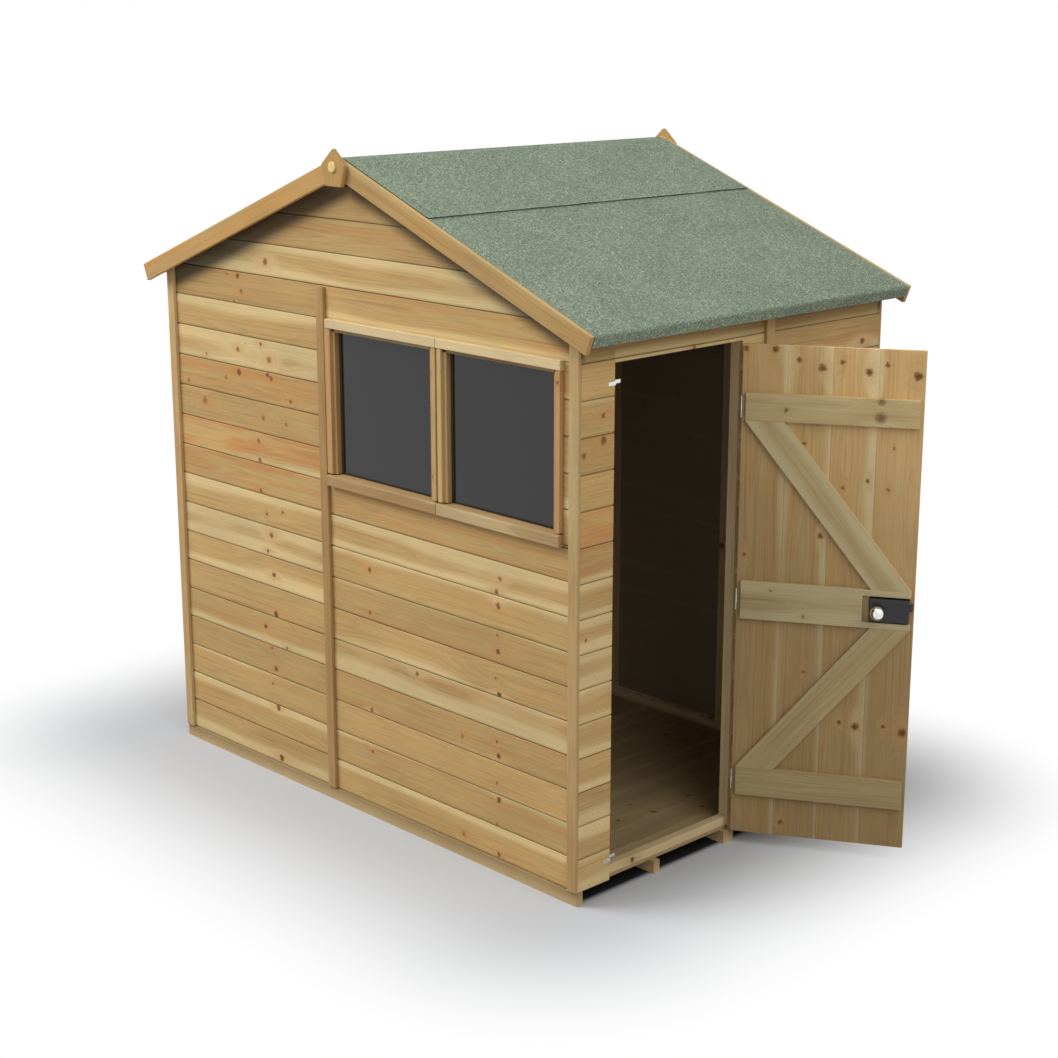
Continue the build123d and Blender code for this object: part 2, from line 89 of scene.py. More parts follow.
# How often the noises of the wood change along, across and through a board
WANDER_PITCHES = (1.1, 2.0, 2.0)
STREAK_PITCHES = (1.3, 30.0, 30.0)
LINE_PITCHES = (2.2, 150.0, 150.0)
FIBRE_PITCHES = (9.0, 420.0, 420.0)
PATCH_PITCHES = (2.6, 7.0, 7.0)
FLAME_PITCHES = (2.0, 16.0, 16.0)

# The figure of the wood: how far the grain wanders and the rings wobble, between which levels of a noise or
# a distance each mark sets in, and how strongly it shows from heartwood to sapwood or from low to high
WANDER_REACH = 0.060
WOBBLE_REACH = 0.014
RING_START = (0.25, 0.85)
RING_END = (0.88, 1.0)
RING_LEVELS = (0.17, 0.09)
SAP_SPAN = (-0.009, 0.012)
WARM_SPAN = (-0.050, -0.004)
WARM_LEVELS = (0.45, 1.0)
STREAK_SPAN = (0.40, 0.66)
FLAME_SPAN = (0.50, 0.64)
LINE_SPAN = (0.50, 0.78)
LINE_LEVELS = (0.46, 0.20)
TONE_LEVELS = (0.93, 1.05)
FIBRE_SPAN = (0.2, 0.8)
FIBRE_LEVELS = (0.95, 1.05)
PATCH_SPAN = (0.25, 0.75)
PATCH_LEVELS = (0.93, 1.07)
SHEEN_LESS = 0.07
SHEEN_MORE = 0.10
FIBRE_RISE = 0.7
RING_RISE = 0.3
KNOT_RISE = 0.5

# Knots of one board
KNOT_NAMES = tuple(f"knot_{index}" for index in range(6))
KNOT_PITCH = 0.42
KNOT_CROWDING = (0.2, 1.5)
KNOT_SIZES = (0.0035, 0.0090)
KNOT_DARKNESS = (0.3, 1.0)
KNOT_EDGE = 0.010
KNOT_SPREAD = 1.45
KNOT_ROUGHNESS = (0.018, 0.018, 0.0)
KNOT_NOISE = 130.0
KNOT_CORE = (0.30, 1.35)
KNOT_HALO = (0.6, 3.4)
HALO_STRETCH = (0.45, 1.0, 0.0)
HALO_BEND = 1.3
HALO_STRENGTH = 0.40
CORE_STRENGTH = 0.80
DARK_STRENGTH = 0.95
NO_KNOT = (-100.0, -100.0, 0.001, 0.0)
NO_KNOTS = ()

# Painted light and shade that follow the photograph: its shadow under the roof's edge, where the gables
# (past GABLE_FACE from the middle) are darker than the sides, and the open leaf paler up and outward
GABLE_FACE = (0.700, 0.716)
GABLE_SHADOW = 0.80
SIDE_SHADOW = 0.30
SHADOW_SPAN = (0.080, 0.135)
PAINTED_LIGHT_RUN = 1.2
PAINTED_LIGHT_SPAN = (2.27, 3.37)

# Windows
RAIL_DEPTH = 0.052
LIP_WIDTH = 0.0150
LIP_DEPTH = 0.0100
REBATE_WIDTH = 0.0035
REBATE_DEPTH = 0.0060
HEAD_LIP = 0.012
STILE_SPREAD = 0.008
GLASS_SET = 0.0005

# Finial buttons: steps round, and the rim's shares of the radius and of the depth
BUTTON_STEPS = 40
BUTTON_RIM_SHARES = ((0.97, 0.0), (1.0, 0.30), (0.985, 0.62), (0.93, 0.86), (0.80, 1.0), (0.30, 1.06))

# Roof felt
FELT_THICKNESS = 0.002
FELT_ALONG_STEPS = 96
FELT_DOWN_STEPS = 40
FELT_ARC_STEPS = 5
FELT_FOLD_RADIUS = 0.006
FELT_CREASE_RISE = 0.030
FELT_CREASE_HALF = 0.006
FELT_CREASE_DEPTH = 0.0005
FELT_WAVE = 0.0005
FELT_PITCHES = (3.1, 4.3, 7.0)
EAVES_PITCHES = (3.0, 5.0, 2.0)
DRIP_SHARE = 0.4
RIDGE_FELT_STEPS = 36
RIDGE_ROUND = 0.030
RIDGE_LAYER = 3
LAP_WAVE = 0.0016
LAP_PITCHES = (4.0, 3.0, 9.0)
LAP_LIFT = 0.0035
LAP_TAPER = 0.025
LIFT_SHARES = (0.6, 0.4)
LIFT_PITCHES = (9, 1, 4)
CLOUT_PITCH = 0.230
CLOUT_INSET = 0.009
CLOUT_RADIUS = 0.0070
CLOUT_HEIGHT = 0.0020

# Nails and screws
NAIL_RADIUS = 0.0018
NAIL_HEIGHT = 0.0006
NAIL_STEPS = 10
NAIL_ROW_SHARES = (0.22, 0.74)
NAIL_EDGE_MARGIN = 0.010
NAIL_DRIFT = 0.004
HEAD_SHARES = ((1.0, 0.0), (1.0, 0.35), (0.86, 0.80), (0.62, 1.0))
SCREW_RADIUS = 0.0042
SCREW_HEIGHT = 0.0016
SCREW_STEPS = 16
RECESS_ARMS = 4
RECESS_RIM_SHARE = 0.02
RECESS_TIP_SHARE = 0.50
RECESS_NOTCH_SHARE = 0.16
RECESS_DEPTH_SHARE = 0.75
STRAP_SCREW_SHARES = (0.10, 0.34, 0.58, 0.82)
PLATE_SCREW_SHARES = (0.2, 0.5, 0.8)
PLATE_SCREW_INSET = 0.012
HINGE_GAUGE = 0.002

# Stop clips
CLIP_HALF = 0.0057
CLIP_NUDGE = 0.003
CLIP_ROUND = 0.004
CLIP_ROUND_STEPS = 5

# Boards that stand out, by wall and row: the edge with the sapwood band (1 upper), its width, and warmth
PALE_LOOK = (1, 1.0, 0.0)
BROWN_LOOK = (1, 0.0, 0.5)
WARM_LOOK = (1, 0.0, 1.0)
LOOKS = {
    "front_left": {
        0: (-1, 0.036, 0.25), 1: (1, 0.036, 0.40), 2: (1, 0.012, 0.25), 3: (-1, 0.0, 0.25),
        4: (-1, 0.045, 0.65), 5: (-1, 0.0, 0.20), 6: (-1, 0.034, 0.20), 7: (-1, 0.050, 0.25),
        8: (1, 0.034, 0.30), 9: (1, 0.0, 1.00), 10: (-1, 0.016, 1.60), 11: (-1, 0.0, 0.30),
        12: (1, 0.0, 1.10), 13: (1, 0.045, 0.45), 14: (1, 0.030, 0.25), 15: (-1, 0.0, 0.35),
    },
    "front_right": {
        0: (1, 0.030, 0.35), 1: (1, 0.016, 0.45), 2: (-1, 0.0, 0.30), 3: (-1, 0.0, 0.50),
        4: (-1, 0.046, 0.80), 5: (-1, 0.0, 0.35), 6: (1, 0.015, 0.40), 7: (1, 0.020, 0.40),
        8: (1, 0.035, 0.30), 9: (1, 0.0, 0.80), 15: (-1, 0.020, 0.50),
    },
    "front_gable_panel": {16: (-1, 0.030, 0.30)},
    "right_lock": {
        0: (-1, 0.045, 0.15), 1: (1, 0.050, 0.15), 2: (-1, 0.055, 0.10),
        3: (-1, 0.040, 0.15), 4: (-1, 0.060, 0.15), 5: (-1, 0.035, 0.30), 6: (-1, 0.040, 0.15),
        7: (-1, 0.050, 0.15), 8: (1, 0.045, 0.20), 9: (-1, 0.030, 0.85), 10: (-1, 0.0, 1.20),
        11: (-1, 0.0, 0.50), 12: (-1, 0.0, 0.60), 13: (1, 0.020, 0.40), 14: (-1, 0.0, 0.50),
    },
    "leaf": {0: (1, 0.010, 0.45), 1: (-1, 0.010, 0.35), 2: (-1, 0.012, 0.40), 3: (-1, 0.020, 0.60)},
    "verge": {0: WARM_LOOK, 1: (1, 0.020, 0.25)},
    "stile": {0: (1, 0.0, 0.6), 1: (1, 0.040, 0.1), 2: (1, 0.030, 0.2), 3: (1, 0.0, 0.9)},
}

# Knots that stand out, by wall: place along and across the boards, radius and darkness
KNOTS = {
    "front_left": (
        (-0.636, 1.822, 0.007, 0.9), (-0.698, 1.822, 0.004, 0.5), (-0.618, 1.770, 0.006, 0.35),
        (-0.662, 1.730, 0.004, 0.7), (-0.513, 1.595, 0.005, 0.85), (-0.651, 1.561, 0.007, 0.6),
        (-0.467, 1.544, 0.009, 0.35), (-0.844, 1.519, 0.004, 0.7), (-0.648, 1.478, 0.009, 0.85),
        (-0.729, 1.448, 0.005, 0.8), (-0.479, 1.490, 0.007, 0.8), (-0.459, 1.480, 0.007, 0.7),
        (-0.964, 1.407, 0.006, 0.4), (-0.350, 1.414, 0.005, 0.8), (-0.866, 1.346, 0.011, 0.25),
        (-0.512, 1.332, 0.007, 0.35), (-0.381, 1.327, 0.005, 0.4), (-0.545, 1.244, 0.007, 0.4),
        (-0.541, 1.176, 0.006, 0.9), (-0.542, 1.064, 0.006, 0.9), (-0.513, 0.983, 0.005, 0.9),
        (-0.419, 1.006, 0.005, 0.9), (-0.488, 0.909, 0.008, 0.6), (-0.512, 0.846, 0.005, 0.8),
        (-0.481, 0.763, 0.007, 0.85), (-0.476, 0.616, 0.009, 0.95), (-0.542, 0.557, 0.007, 0.95),
        (-0.509, 0.481, 0.004, 0.8), (-0.418, 0.502, 0.004, 0.8), (-0.487, 0.406, 0.008, 0.7),
        (-0.510, 0.344, 0.004, 0.8), (-0.481, 0.259, 0.008, 0.8), (-0.471, 0.066, 0.009, 1.0),
    ),
    "front_right": (
        (0.061, 0.895, 0.006, 0.7), (0.059, 0.743, 0.005, 0.7), (0.300, 0.583, 0.006, 0.7),
        (0.058, 0.392, 0.006, 0.75), (0.059, 0.238, 0.005, 0.7), (0.707, 0.999, 0.006, 0.5),
        (0.691, 0.952, 0.006, 0.7), (0.698, 0.907, 0.007, 0.8), (0.693, 0.809, 0.004, 0.8),
        (0.697, 0.755, 0.007, 0.95), (0.687, 0.665, 0.004, 0.8), (0.701, 0.612, 0.007, 0.95),
        (0.690, 0.449, 0.004, 0.8), (0.697, 0.403, 0.007, 0.95), (0.689, 0.308, 0.004, 0.8),
        (0.699, 0.252, 0.007, 0.95), (0.689, 0.163, 0.004, 0.8), (0.697, 0.060, 0.006, 1.0),
        (0.524, 0.424, 0.006, 0.2), (0.527, 0.079, 0.006, 0.2),
    ),
    "front_gable_panel": ((-0.471, 1.886, 0.009, 0.55),),
    "right_lock": (
        (-0.627, 1.559, 0.006, 0.5), (-0.626, 1.483, 0.009, 0.7), (-0.709, 1.449, 0.007, 0.6),
        (-0.695, 0.873, 0.004, 0.6),
    ),
    "leaf": (
        (1.690, -0.010, 0.006, 0.7), (1.691, -0.104, 0.008, 0.8), (1.661, -0.179, 0.006, 0.75),
        (1.639, -0.252, 0.009, 0.7), (1.659, -0.314, 0.006, 0.7), (1.632, -0.397, 0.009, 0.85),
        (1.657, -0.454, 0.006, 0.6), (1.626, -0.549, 0.010, 0.9), (1.284, -0.409, 0.005, 0.6),
        (1.257, -0.331, 0.005, 0.4), (1.394, -0.485, 0.003, 0.6), (1.259, -0.474, 0.004, 0.4),
        (1.095, -0.265, 0.007, 0.75), (1.016, -0.022, 0.005, 0.8), (1.394, -0.203, 0.004, 0.7),
        (0.469, -0.349, 0.005, 0.8), (0.459, -0.402, 0.009, 1.0), (0.467, -0.493, 0.005, 0.9),
        (0.452, -0.554, 0.010, 1.0), (0.632, -0.228, 0.005, 0.4), (0.098, -0.169, 0.006, 0.7),
    ),
    "ledge": (
        (0.442, 1.543, 0.009, 0.4), (0.441, 1.492, 0.013, 0.5), (0.144, 1.502, 0.005, 0.5),
        (0.114, 0.904, 0.004, 0.6), (0.222, 0.825, 0.004, 0.4),
    ),
    "threshold": ((-0.455, 0.072, 0.007, 0.8),),
    "stile": ((1.615, -0.402, 0.005, 0.6), (1.280, -0.405, 0.004, 0.6), (1.660, -0.975, 0.005, 0.6)),
}

# Screen colours of each timber: sapwood, wood, heartwood, latewood and knots
TIMBER_COLOURS = {
    "cladding": ((220, 194, 139), (196, 164, 107), (198, 143, 84), (150, 107, 56), (100, 60, 12)),
    "door": ((206, 184, 138), (190, 160, 110), (192, 148, 90), (146, 102, 56), (98, 58, 14)),
    "ledge": ((202, 186, 142), (188, 168, 122), (180, 154, 106), (142, 116, 76), (84, 60, 34)),
    "trim": ((204, 177, 127), (190, 158, 107), (186, 144, 89), (150, 108, 64), (96, 58, 30)),
    "joint": ((190, 158, 108), (178, 143, 92), (174, 130, 77), (140, 98, 56), (96, 58, 30)),
    "stile": ((198, 166, 112), (190, 152, 100), (188, 134, 78), (146, 100, 56), (96, 58, 30)),
    # The beads' colours are painted dark: painted shade in the window reveals beside the glass
    "bead": ((72, 53, 33), (63, 46, 28), (65, 45, 26), (46, 32, 19), (38, 26, 15)),
    "pale": ((218, 194, 148), (176, 146, 99), (172, 136, 88), (148, 110, 68), (96, 58, 30)),
    "deck": ((172, 148, 108), (164, 140, 100), (162, 134, 92), (136, 110, 72), (96, 72, 44)),
    "framing": ((226, 206, 166), (214, 190, 146), (204, 172, 124), (168, 132, 90), (110, 78, 48)),
    "verge": ((202, 172, 114), (188, 154, 98), (202, 146, 74), (150, 100, 46), (84, 48, 24)),
    "button": ((250, 224, 160), (244, 212, 146), (234, 196, 128), (190, 148, 88), (120, 80, 44)),
}
# Painted shade colours: the shaded wood of grooves, reveals, lips and bearers, and the inner wood of inner
# faces
SHADED_WOOD = (74, 50, 24)
INNER_WOOD = (150, 140, 124)

# What sets some timbers apart: roughness, painted light on the leaf low and high, and painted shade under the
# roof
TIMBER_ROUGHNESS_AND_PAINTED_LIGHT = {
    "cladding": {"shadowed": True},
    "door": {"painted_light_levels": (0.78, 1.34)},
    "ledge": {"painted_light_levels": (0.92, 1.20)},
    "deck": {"sheen": 0.72},
    "framing": {"sheen": 0.72},
}

# Light: a white dome, and round lamps by azimuth, elevation, level on a face turned to them, distance, size
DOME_LEVEL = 0.38
LAMPS = (
    ("key_lamp", -42, 42, 2.16, 11.0, 6.2),
    ("high_lamp", -18, 66, 0.30, 14.0, 7.8),
    ("side_lamp", 80, 35, 1.08, 10.0, 8.0),
)
LAMP_AIM = (0, 0, 0.9)
WHITE = (1, 1, 1, 1)
FLOOR_REACH = 30.0
FLOOR_WHITE_SPAN = (0.05, 0.95)
FLOOR_SHIFT_X = 0.10
FLOOR_SHIFT_Y = 0.04
# The width over which the painted shade under the shed fades out
FLOOR_EDGE = 0.03
FLOOR_BOUNCE = (0.42, 0.42, 0.42, 1)

# Camera of the photograph
CAMERA_PLACE = (5.0617, -4.7789, 2.7352)
CAMERA_AZIMUTH = 46.149
CAMERA_DIP = 14.824
CAMERA_LENS = 67.24
CAMERA_SENSOR = 36.0


def axes(along, across, out, origin=(0, 0, 0)):
    """The matrix from a board's own axes (along, across, out of its face) to the shed's."""
    place = Matrix((along, across, out)).transposed().to_4x4()
    place.translation = Vector(origin)
    return place


SHED = Matrix.Identity(4)
FRONT_WALL = axes((1, 0, 0), (0, 0, 1), (0, -1, 0))
REAR_WALL = axes((-1, 0, 0), (0, 0, 1), (0, 1, 0))
RIGHT_WALL = axes((0, 1, 0), (0, 0, 1), (1, 0, 0))
LEFT_WALL = axes((0, -1, 0), (0, 0, 1), (-1, 0, 0))
WINDOW_STILE = axes((0, 0, 1), (-1, 0, 0), (0, -1, 0))
DECK = axes((0, 1, 0), (-1, 0, 0), (0, 0, 1))
UPRIGHT = axes((0, 0, 1), (1, 0, 0), (0, 1, 0))
LONG_AXES = (SHED, RIGHT_WALL, UPRIGHT)


# Reading the frame

def vertices(node):
    """Every vertex of a CAD node at rest."""
    return [vertex.co.copy() for vertex in frame["nodes"][node].data.vertices]


def solids(node):
    """The vertices of each separate solid of a CAD node."""
    mesh = frame["nodes"][node].data
    keys = [tuple(round(value, 5) for value in vertex.co) for vertex in mesh.vertices]
    leader = {key: key for key in keys}

    def find(key):
        while leader[key] != key:
            key = leader[key]
        return key

    for polygon in mesh.polygons:
        first = find(keys[polygon.vertices[0]])
        for index in polygon.vertices[1:]:
            leader[find(keys[index])] = first
    groups = {}
    for key in sorted(leader):
        groups.setdefault(find(key), []).append(Vector(key))
    return [groups[key] for key in sorted(groups)]


def seen_from(points, place):
    """Some points in a board's own axes."""
    inverse = place.inverted()
    return [inverse @ point for point in points]


def box_in(points, place):
    """The lowest and highest corners of some points, in a board's own axes."""
    local = seen_from(points, place)
    low = Vector([min(point[axis] for point in local) for axis in range(3)])
    high = Vector([max(point[axis] for point in local) for axis in range(3)])
    return low, high


def box_of(node, place):
    """The lowest and highest corners of a CAD node, in a board's own axes."""
    return box_in(vertices(node), place)


def boxes_of(node, place):
    """The lowest and highest corners of each solid of a CAD node, in a board's own axes."""
    return [box_in(points, place) for points in solids(node)]


def middle_of(low, high):
    """The middle of a board's section."""
    return (low.y + high.y) / 2, (low.z + high.z) / 2


def hull(points):
    """The outline round some flat points, counter-clockwise."""
    points = sorted(set((round(x, 6), round(y, 6)) for x, y in points))

    def half(ordered):
        chain = []
        for x, y in ordered:
            while len(chain) > 1:
                (ax, ay), (bx, by) = chain[-2], chain[-1]
                if (bx - ax) * (y - ay) - (by - ay) * (x - ax) > 1e-9:
                    break
                chain.pop()
            chain.append((x, y))
        return chain

    return half(points)[:-1] + half(points[::-1])[:-1]


WALL_LOW, WALL_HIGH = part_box("left_wall_panel")
WALL_BASE = WALL_LOW.z
GABLE_LOW, GABLE_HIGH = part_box("front_gable_panel")
ROOF_PEAK = GABLE_HIGH.z
ROOF_FALL = (ROOF_PEAK - GABLE_LOW.z) / GABLE_HIGH.x
SLOPE_COS = math.cos(math.atan(ROOF_FALL))
SLOPE_SIN = math.sin(math.atan(ROOF_FALL))
RIDGE = (0, 0, ROOF_PEAK)
RIGHT_SLOPE = axes((0, -1, 0), (SLOPE_COS, 0, -SLOPE_SIN), (SLOPE_SIN, 0, SLOPE_COS), RIDGE)
LEFT_SLOPE = axes((0, 1, 0), (-SLOPE_COS, 0, -SLOPE_SIN), (-SLOPE_SIN, 0, SLOPE_COS), RIDGE)
SLOPES = (("right", 1, RIGHT_SLOPE), ("left", -1, LEFT_SLOPE))


def rest_swing():
    """The turn of the leaf from closed to where it stands at rest."""
    joint = next(joint for joint in frame["joints"] if joint["name"] == "door_swing")
    pin = Matrix.Translation(Vector(joint["pos_m"]))
    closed = min(joint["range_deg"])
    return pin @ Matrix.Rotation(math.radians(-closed), 4, "Z") @ pin.inverted()


SWING = rest_swing()
LEAF = SWING @ axes((0, 0, 1), (0, 1, 0), (-1, 0, 0))
LEDGE = SWING @ axes((0, -1, 0), (0, 0, 1), (-1, 0, 0))
LEAF_OUTSIDE = SWING @ RIGHT_WALL


# Shapes in a board's own axes

def between(first, second):
    """A closed solid between two outlines that have as many points each."""
    shape = bmesh.new()
    start = [shape.verts.new(point) for point in first]
    end = [shape.verts.new(point) for point in second]
    shape.faces.new(start[::-1])
    shape.faces.new(end)
    for index in range(len(start)):
        after = (index + 1) % len(start)
        shape.faces.new((start[index], start[after], end[after], end[index]))
    bmesh.ops.recalc_face_normals(shape, faces=shape.faces[:])
    return shape


def along_shape(profile, start, end):
    """A profile (across, out) run along the board between two cuts, each a function of across."""
    first = [(start(across), across, out) for across, out in profile]
    second = [(end(across), across, out) for across, out in profile]
    return between(first, second)


def run_shape(profile, low, high):
    """A profile (across, out) run along the board between square ends."""
    return along_shape(profile, lambda _: low.x, lambda _: high.x)


def plate_shape(outline, low, high):
    """An outline (along, across) made as thick as from low to high."""
    return between([(*point, low) for point in outline], [(*point, high) for point in outline])


def box_shape(low, high):
    """A rectangular board between two corners."""
    outline = [(low.x, low.y), (high.x, low.y), (high.x, high.y), (low.x, high.y)]
    return plate_shape(outline, low.z, high.z)


def turned_shape(profile, steps):
    """A profile (radius, out) turned about the out axis."""
    shape = bmesh.new()
    angles = [2 * math.pi * step / steps for step in range(steps)]
    rings = []
    for radius, out in profile:
        spots = [(radius * math.cos(angle), radius * math.sin(angle), out) for angle in angles]
        rings.append([shape.verts.new(spot) for spot in spots])
    for lower, upper in zip(rings, rings[1:]):
        for step in range(steps):
            after = (step + 1) % steps
            shape.faces.new((lower[step], lower[after], upper[after], upper[step]))
    shape.faces.new(rings[0][::-1])
    shape.faces.new(rings[-1])
    return shape


def show(name, mesh, body, slot, material, *nodes):
    """Put a mesh in the scene as a piece of the shed."""
    mesh.materials.append(material)
    piece = bpy.data.objects.new(name, mesh)
    bpy.context.scene.collection.objects.link(piece)
    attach(piece, body)
    if nodes:
        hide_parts(*nodes)
    return piece


def show_shapes(name, shapes, body, slot, material, *nodes):
    """Put some shapes in the scene as one piece."""
    whole = bmesh.new()
    for shape in shapes:
        part = bpy.data.meshes.new("part")
        shape.to_mesh(part)
        whole.from_mesh(part)
        bpy.data.meshes.remove(part)
        shape.free()
    mesh = bpy.data.meshes.new(name)
    whole.to_mesh(mesh)
    whole.free()
    show(name, mesh, body, slot, material, *nodes)


# Boards with a grain

def random_look(draw):
    """The edge with a band of sapwood, the width of the band, and the warmth of a board."""
    band = draw.uniform(*BAND_WIDTHS) if draw.random() < BAND_CHANCE else 0.0
    return draw.choice((-1, -1, 1)), band, draw.uniform(*WARMTHS)


def random_knots(draw, low, high):
    """Knots scattered over a board."""
    count = round((high.x - low.x) / KNOT_PITCH * draw.uniform(*KNOT_CROWDING))
    margin = min(KNOT_EDGE, (high.y - low.y) / 4)
    spots = []
    for _ in range(min(len(KNOT_NAMES), count)):
        place = (draw.uniform(low.x, high.x), draw.uniform(low.y + margin, high.y - margin))
        spots.append((*place, draw.uniform(*KNOT_SIZES), draw.uniform(*KNOT_DARKNESS)))
    return spots


def lit(_):
    """The shade of a board that has no sunk parts."""
    return 0.0


class Timber:
    """The boards of one piece, each with a grain of its own."""

    def __init__(self):
        self.points = []
        self.faces = []
        self.values = {name: [] for name in ("grain", "tint", *KNOT_NAMES)}

    def add(self, seed, place, shape, middle, ease=0.0, half=None, look=None, knots=None, shade=lit):
        """Take in a board. The middle of its section is where its grain is measured from."""
        if ease:
            sharp = [edge for edge in shape.edges if edge.calc_face_angle(0) > EDGE_ANGLE]
            bmesh.ops.bevel(
                shape, geom=sharp, offset=ease, segments=2, profile=0.5, affect="EDGES", clamp_overlap=True
            )
        draw = random.Random(seed)
        low, high = box_in([vertex.co for vertex in shape.verts], SHED)
        half = half or (high.y - low.y) / 2
        edge, band, warmth = look or random_look(draw)
        offset = draw.uniform(0, PITH_SIDE)
        depth = draw.uniform(PITH_NEAR, PITH_FAR) * draw.choice((-1, 1))
        if band:
            heart = math.hypot(offset + half - band, depth) if band < 2 * half else 0.0
        else:
            heart = math.hypot(offset + half, abs(depth) + (high.z - low.z) / 2)
        shift = Vector((draw.uniform(0, GRAIN_RUN), edge * offset - middle[0], depth - middle[1]))
        tone = draw.random()
        if knots is None:
            knots = random_knots(draw, low, high)
        inside = [knot for knot in knots if low.x < knot[0] < high.x and low.y < knot[1] < high.y]
        shared = {}
        for index, name in enumerate(KNOT_NAMES):
            along, across, size, dark = inside[index] if index < len(inside) else NO_KNOT
            shared[name] = (along + shift.x, across + shift.y, size * KNOT_SPREAD, dark)
        first = len(self.points)
        shape.verts.index_update()
        for vertex in shape.verts:
            self.points.append(place @ vertex.co)
            self.values["grain"].extend(vertex.co + shift)
            # The fourth value is the vertex's painted shade
            self.values["tint"].extend((tone, warmth, heart, shade(vertex.co.z)))
            for name, value in shared.items():
                self.values[name].extend(value)
        for face in shape.faces:
            self.faces.append([first + vertex.index for vertex in face.verts])
        shape.free()

    def add_box(self, seed, place, low, high, ease, **marks):
        """Take in a rectangular board."""
        self.add(seed, place, box_shape(low, high), middle_of(low, high), ease, **marks)

    def add_boxes(self, node, ease, **marks):
        """A board for each rectangular solid of a CAD node, with its grain along its longest side."""
        for index, points in enumerate(solids(node)):
            low, high = box_in(points, SHED)
            size = high - low
            place = LONG_AXES[list(size).index(max(size))]
            self.add_box(f"{node}-{index}", place, *box_in(points, place), ease, **marks)

    def add_outline(self, seed, place, points, ease, **marks):
        """A flat board with the outline of a CAD solid, its grain along the given axes."""
        low, high = box_in(points, place)
        outline = hull([(point.x, point.y) for point in seen_from(points, place)])
        self.add(seed, place, plate_shape(outline, low.z, high.z), middle_of(low, high), ease, **marks)

    def add_side_by_side(self, seed, place, low, high, count, ease):
        """Rectangular boards of one width over an area."""
        width = (high.y - low.y) / count
        for index in range(count):
            board_low = Vector((low.x, low.y + index * width, low.z))
            board_high = Vector((high.x, low.y + (index + 1) * width, high.z))
            marks = {"look": LOOKS.get(seed, {}).get(index), "knots": KNOTS.get(seed)}
            self.add_box(f"{seed}-{index}", place, board_low, board_high, ease, **marks)

    def piece(self, name, body, slot, material, *nodes):
        """The finished piece, in the place of some CAD nodes."""
        mesh = bpy.data.meshes.new(name)
        mesh.from_pydata(self.points, [], self.faces)
        for mark, values in self.values.items():
            kind, field = ("FLOAT_VECTOR", "vector") if mark == "grain" else ("FLOAT_COLOR", "color")
            mesh.attributes.new(mark, kind, "POINT").data.foreach_set(field, values)
        show(name, mesh, body, slot, material, *nodes)


# Materials

def colour(red, green, blue):
    """A screen colour, from 0 to 255, as linear light."""
    def linear(value):
        share = value / 255
        return share / 12.92 if share <= 0.04045 else ((share + 0.055) / 1.055) ** 2.4

    return (linear(red), linear(green), linear(blue), 1.0)


class Value:
    """One output in a graph of nodes, with the signs of arithmetic."""

    def __init__(self, graph, socket):
        self.graph = graph
        self.socket = socket

    def __add__(self, other):
        return self.graph.math("ADD", self, other)

    def __sub__(self, other):
        return self.graph.math("SUBTRACT", self, other)

    def __rsub__(self, other):
        return self.graph.math("SUBTRACT", other, self)

    def __mul__(self, other):
        return self.graph.math("MULTIPLY", self, other)

    def __truediv__(self, other):
        return self.graph.math("DIVIDE", self, other)

    def __abs__(self):
        return self.graph.math("ABSOLUTE", self)


